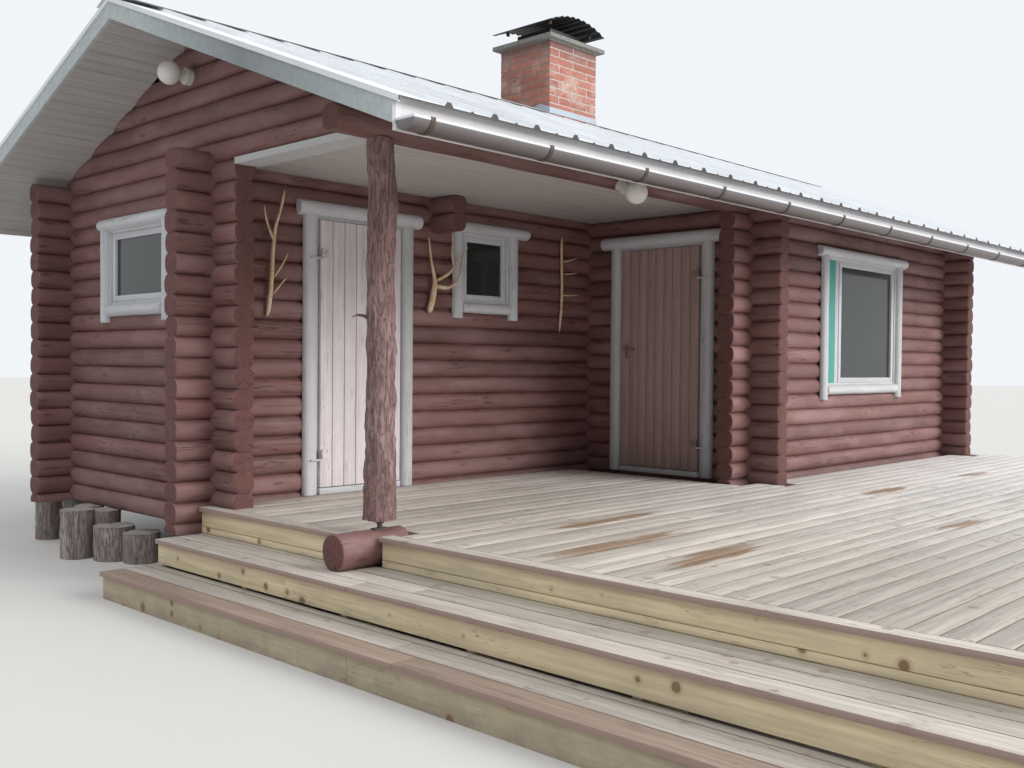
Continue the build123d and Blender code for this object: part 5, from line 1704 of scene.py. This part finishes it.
class CABIN_OT_rain_cap(bpy.types.Operator):
    """Bend the corrugated rain cap over the chimney"""
    bl_idname = "cabin.rain_cap"
    bl_label = "Rain Cap"

    waves = 10
    ripple = 0.006
    rise = 0.09
    thickness = 0.004
    leg_half = 0.012
    leg_inset = 0.10

    def execute(self, context):
        low, high = span("rain_cap")
        collar_top = span("chimney")[1][2]
        columns = self.waves * 6
        deselect()
        bpy.ops.mesh.primitive_grid_add(x_subdivisions=columns, y_subdivisions=columns, size=1.0)
        sheet = bpy.context.active_object
        places = coordinates(sheet.data)
        u = places[:, 0] * 2
        v = places[:, 1] * 2
        ripple = self.ripple * np.cos(u * math.pi * self.waves)
        x = (low[0] + high[0]) / 2 + u * (high[0] - low[0]) / 2
        y = (low[1] + high[1]) / 2 + v * (high[1] - low[1]) / 2
        z = high[2] - 0.012 - self.rise * u ** 2 + ripple
        write_coordinates(sheet.data, np.stack([x, y, z], 1) + np.array(HOUSE))
        apply_modifier(sheet, "SOLIDIFY", thickness=self.thickness, offset=-1.0)
        paint(sheet, "black_sheet")
        parts = [sheet]
        half = self.leg_half
        for x in (low[0] + self.leg_inset, high[0] - self.leg_inset):
            for y in (low[1] + self.leg_inset, high[1] - self.leg_inset):
                u = (x - (low[0] + high[0]) / 2) / ((high[0] - low[0]) / 2)
                top = high[2] - 0.02 - self.rise * u ** 2
                leg = add_box(at(x - half, y - half, collar_top), at(x + half, y + half, top), 0.002)
                paint(leg, "iron")
                parts.append(leg)
        finish_piece(join(parts, "corrugated_cap"), "black_sheet", CABIN, ["rain_cap"], 50.0)
        return {"FINISHED"}


class CABIN_OT_lamps(bpy.types.Operator):
    """Blow the two globes, each with a neck into its base"""
    bl_idname = "cabin.lamps"
    bl_label = "Lamps"

    neck = 0.006
    neck_start = 0.93

    def execute(self, context):
        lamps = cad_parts["lamp_globes"].data
        places = coordinates(lamps)
        left = places[:, 0] < places[:, 0].mean()
        parts = []
        for group, axis in ((places[left], 0), (places[~left], 1)):
            centre = (group.min(0) + group.max(0)) / 2
            radius = (group.max(0) - group.min(0))[2] / 2
            turn = (0.0, math.pi / 2, 0.0) if axis == 0 else (math.pi / 2, 0.0, 0.0)
            deselect()
            bpy.ops.mesh.primitive_uv_sphere_add(segments=48, ring_count=24, radius=radius, location=centre,
                                                 rotation=turn)
            globe = bpy.context.active_object
            settle(globe)
            step = [0.0, 0.0, 0.0]
            step[axis] = self.neck
            edge = centre[axis] + self.neck_start * radius
            edit_faces(globe, lambda face: face.center[axis] > edge, bpy.ops.mesh.extrude_region_move,
                       TRANSFORM_OT_translate={"value": step})
            paint(globe, "globe")
            parts.append(globe)
        finish_piece(join(parts, "opal_globes"), "globe", CABIN, ["lamp_globes"], 60.0)
        return {"FINISHED"}


def add_stick(points, thickness):
    """Tapering stick through points: a disc extruded from each point to the next."""
    deselect()
    bpy.ops.mesh.primitive_circle_add(vertices=8, radius=thickness[0], fill_type="NGON",
                                      location=points[0])
    obj = bpy.context.active_object
    direction = (Vector(points[1]) - Vector(points[0])).normalized()
    obj.rotation_euler = direction.to_track_quat("Z", "Y").to_euler()
    settle(obj)
    enter(obj, "FACE")
    for face in obj.data.polygons:
        face.select = True
    bpy.ops.object.mode_set(mode="EDIT")
    for n in range(1, len(points)):
        step = Vector(points[n]) - Vector(points[n - 1])
        bpy.ops.mesh.extrude_region_move(TRANSFORM_OT_translate={"value": step})
        factor = thickness[n] / thickness[n - 1]
        bpy.ops.transform.resize(value=(factor, factor, factor), center_override=points[n])
    bpy.ops.mesh.select_all(action="SELECT")
    bpy.ops.mesh.normals_make_consistent(inside=False)
    bpy.ops.object.mode_set(mode="OBJECT")
    obj.name = "stick"
    return obj


class CABIN_OT_wall_sticks(bpy.types.Operator):
    """Hang the forked sticks on the porch's back wall"""
    bl_idname = "cabin.wall_sticks"
    bl_label = "Forked Sticks"

    # points and thickness at each point
    sticks = (
        (((0.315, -0.085, 1.70), (0.327, -0.11, 1.81), (0.336, -0.115, 1.985), (0.342, -0.115, 2.128),
          (0.352, -0.115, 2.22), (0.358, -0.115, 2.294), (0.391, -0.11, 2.378), (0.418, -0.11, 2.461),
          (0.441, -0.105, 2.567)), (0.018, 0.018, 0.017, 0.015, 0.015, 0.012, 0.011, 0.010, 0.008)),
        (((0.350, -0.115, 2.21), (0.308, -0.12, 2.289), (0.282, -0.12, 2.36), (0.271, -0.12, 2.444)),
         (0.011, 0.009, 0.008, 0.006)),
        (((0.345, -0.115, 1.96), (0.413, -0.12, 2.048), (0.467, -0.12, 2.15)), (0.008, 0.006, 0.004)),
        (((0.340, -0.115, 1.85), (0.414, -0.12, 1.939), (0.451, -0.12, 1.976)), (0.008, 0.006, 0.004)),
        (((1.750, -0.085, 1.788), (1.755, -0.11, 1.849), (1.772, -0.115, 1.937), (1.790, -0.115, 2.02),
          (1.776, -0.115, 2.086), (1.752, -0.11, 2.176), (1.740, -0.11, 2.262), (1.727, -0.105, 2.378)),
         (0.022, 0.027, 0.026, 0.024, 0.015, 0.011, 0.009, 0.006)),
        (((1.785, -0.115, 2.00), (1.860, -0.13, 1.988), (1.914, -0.14, 1.991), (1.975, -0.14, 2.024),
          (2.011, -0.14, 2.075), (2.029, -0.14, 2.139), (2.037, -0.135, 2.22), (2.077, -0.13, 2.277),
          (2.126, -0.125, 2.326)), (0.020, 0.017, 0.016, 0.015, 0.013, 0.011, 0.010, 0.008, 0.005)),
        (((1.800, -0.115, 2.04), (1.877, -0.125, 2.075), (1.937, -0.13, 2.115), (1.973, -0.135, 2.162),
          (2.003, -0.135, 2.217), (2.046, -0.135, 2.247)), (0.017, 0.014, 0.013, 0.011, 0.008, 0.006)),
        (((1.967, -0.13, 2.16), (1.948, -0.125, 2.231), (1.951, -0.125, 2.302), (1.965, -0.12, 2.379),
          (1.952, -0.12, 2.417)), (0.009, 0.008, 0.007, 0.006, 0.004)),
        (((3.261, -0.085, 1.67), (3.276, -0.10, 1.874), (3.278, -0.10, 2.053), (3.275, -0.10, 2.231),
          (3.266, -0.10, 2.41), (3.280, -0.095, 2.524)), (0.012, 0.013, 0.012, 0.013, 0.012, 0.009)),
        (((3.278, -0.10, 2.01), (3.347, -0.12, 2.006), (3.487, -0.13, 2.022)), (0.007, 0.006, 0.004)),
        (((3.278, -0.10, 2.19), (3.36, -0.12, 2.195), (3.456, -0.13, 2.211)), (0.007, 0.006, 0.004)),
        (((3.273, -0.10, 2.295), (3.361, -0.12, 2.313), (3.454, -0.13, 2.341)), (0.007, 0.006, 0.004)),
    )

    def execute(self, context):
        parts = []
        for points, thickness in self.sticks:
            stick = add_stick([at(*p) for p in points], thickness)
            apply_modifier(stick, "SUBSURF", levels=1, render_levels=1)
            paint(stick, "stick")
            parts.append(stick)
        finish_piece(join(parts, "forked_sticks"), "bark", CABIN, (), 60.0)
        return {"FINISHED"}


class CABIN_OT_carried_over(bpy.types.Operator):
    """Give the nodes that stay as they are their finishes"""
    bl_idname = "cabin.carried_over"
    bl_label = "Plain Nodes"

    finishes = {
        "concrete": ("foundation_piers", "chimney_slab"),
        "floor_boards": ("floor",),
        "trim": ("ceiling_trim",),
        "iron": ("post_screw", "gutter_straps"),
        "riser_wood": ("deck_joists", "deck_legs", "rim_boards", "step_bearers"),
        "soffit": ("roof_body",),
        "roof_sheet": ("front_roof_sheet", "back_roof_sheet", "ridge_cap"),
        "verge": ("rake_boards",),
        "fascia": ("fascias",),
        "gutter": ("gutter",),
        "flashing": ("chimney_flashing",),
        "glass": ("window_glass",),
        "vent": ("vent_screen",),
        "pale_fitting": ("left_door_fittings",),
        "brown_fitting": ("right_door_fittings",),
        "lamp_plastic": ("lamp_bases",),
    }

    def execute(self, context):
        for material, nodes in self.finishes.items():
            for node in nodes:
                paint(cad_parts[node], material)
        return {"FINISHED"}


# Stage

PHOTO_WIDTH = 1024.0
FOCAL_PIXELS = 1043.37
SENSOR = 36.0
CAMERA_PLACE = (-3.5689, -6.0122, 1.4128)
CAMERA_YAW = math.radians(43.4975)
CAMERA_PITCH = math.radians(-1.1115)
CAMERA_ROLL = math.radians(0.5009)


def camera_matrix():
    """Camera's place and turn from yaw, pitch and roll."""
    flat = math.cos(CAMERA_PITCH)
    forward = Vector((math.cos(CAMERA_YAW) * flat, math.sin(CAMERA_YAW) * flat, math.sin(CAMERA_PITCH)))
    level = Vector((math.sin(CAMERA_YAW), -math.cos(CAMERA_YAW), 0.0))
    above = level.cross(forward)
    right = level * math.cos(CAMERA_ROLL) + above * math.sin(CAMERA_ROLL)
    up = above * math.cos(CAMERA_ROLL) - level * math.sin(CAMERA_ROLL)
    turn = Matrix((right, up, -forward)).transposed().to_4x4()
    return Matrix.Translation(at(*CAMERA_PLACE)) @ turn


def pale_seen(tree, lit, seen):
    """Strength that differs between light on the object and what the camera and mirrors see."""
    path = put(tree, "ShaderNodeLightPath")
    direct = path["Is Camera Ray"].do("MAXIMUM", path["Is Glossy Ray"])
    return direct.do("MAXIMUM", path["Is Transmission Ray"]) * (seen - lit) + lit


class CABIN_OT_stage(bpy.types.Operator):
    """Set the floor, the soft light and the camera"""
    bl_idname = "cabin.stage"
    bl_label = "Stage"

    light_given = 0.36
    light_seen = 0.95
    suns = (("key_sun", (0.40, -1.0, 0.46), 2.8, 36.0, (1.0, 0.98, 0.95)),
            ("top_sun", (0.2, -1.0, 2.2), 0.6, 50.0, (1.0, 0.99, 0.97)),
            ("side_fill", (-0.9, -0.4, 1.5), 0.9, 40.0, (0.95, 0.98, 1.0)))

    def execute(self, context):
        deselect()
        bpy.ops.mesh.primitive_plane_add(size=160.0, location=(0.0, 0.0, 0.0))
        floor = bpy.context.active_object
        floor.name = "stage_floor"
        f = Finish("Stage Floor", 0.9)
        f.start(f.place.noise(1.5, 3.0), (0.70, 0.69, 0.67), (0.73, 0.72, 0.70))
        floor.data.materials.append(f.done())
        world = bpy.data.worlds.new("Studio")
        context.scene.world = world
        world.use_nodes = True
        tree = world.node_tree
        tree.nodes.clear()
        strength = pale_seen(tree, self.light_given, self.light_seen)
        sky = put(tree, "ShaderNodeBackground", {"Color": (0.93, 0.96, 1.0, 1.0), "Strength": strength})
        put(tree, "ShaderNodeOutputWorld", {"Surface": sky[0]})
        for name, toward, energy, angle, light_colour in self.suns:
            lamp = bpy.data.lights.new(name, "SUN")
            lamp.energy = energy
            lamp.angle = math.radians(angle)
            lamp.color = light_colour
            holder = bpy.data.objects.new(name, lamp)
            holder.rotation_euler = Vector(toward).to_track_quat("Z", "Y").to_euler()
            context.scene.collection.objects.link(holder)
        camera = bpy.data.cameras.new("photo_camera")
        camera.sensor_width = SENSOR
        camera.lens = FOCAL_PIXELS / PHOTO_WIDTH * SENSOR
        camera.clip_end = 300.0
        holder = bpy.data.objects.new("photo_camera", camera)
        holder.matrix_world = camera_matrix()
        context.scene.collection.objects.link(holder)
        context.scene.camera = holder
        context.scene.view_settings.view_transform = "Standard"
        return {"FINISHED"}


class CABIN_PT_builder(bpy.types.Panel):
    """Lists the cabin's pieces in the sidebar"""
    bl_idname = "CABIN_PT_builder"
    bl_label = "Cabin"
    bl_space_type = "VIEW_3D"
    bl_region_type = "UI"
    bl_category = "Cabin"

    def draw(self, context):
        for group in (context.scene.cabin_logs, context.scene.cabin_boards, context.scene.cabin_colours):
            box = self.layout.box()
            for name in group.bl_rna.properties.keys():
                if name not in ("rna_type", "name"):
                    box.prop(group, name)
        for operator in OPERATORS:
            self.layout.operator(operator.bl_idname)


OPERATORS = (CABIN_OT_stage, CABIN_OT_log_walls, CABIN_OT_post, CABIN_OT_stumps, CABIN_OT_deck,
             CABIN_OT_risers, CABIN_OT_windows, CABIN_OT_doors, CABIN_OT_ceiling, CABIN_OT_chimney,
             CABIN_OT_rain_cap, CABIN_OT_lamps, CABIN_OT_wall_sticks, CABIN_OT_carried_over)
CLASSES = (LogSettings, BoardSettings, ColourSettings) + OPERATORS + (CABIN_PT_builder,)


def register():
    for cls in CLASSES:
        bpy.utils.register_class(cls)
    bpy.types.Scene.cabin_logs = PointerProperty(type=LogSettings)
    bpy.types.Scene.cabin_boards = PointerProperty(type=BoardSettings)
    bpy.types.Scene.cabin_colours = PointerProperty(type=ColourSettings)


def unregister():
    del bpy.types.Scene.cabin_colours
    del bpy.types.Scene.cabin_boards
    del bpy.types.Scene.cabin_logs
    for cls in reversed(CLASSES):
        bpy.utils.unregister_class(cls)


def main():
    """Build the whole cabin."""
    register()
    build_materials()
    for operator in OPERATORS:
        group, name = operator.bl_idname.split(".")
        getattr(getattr(bpy.ops, group), name)()
    for master in list(LOG_MASTERS.values()) + list(BOARD_MASTERS.values()):
        drop(master)


if __name__ == "__main__":
    main()
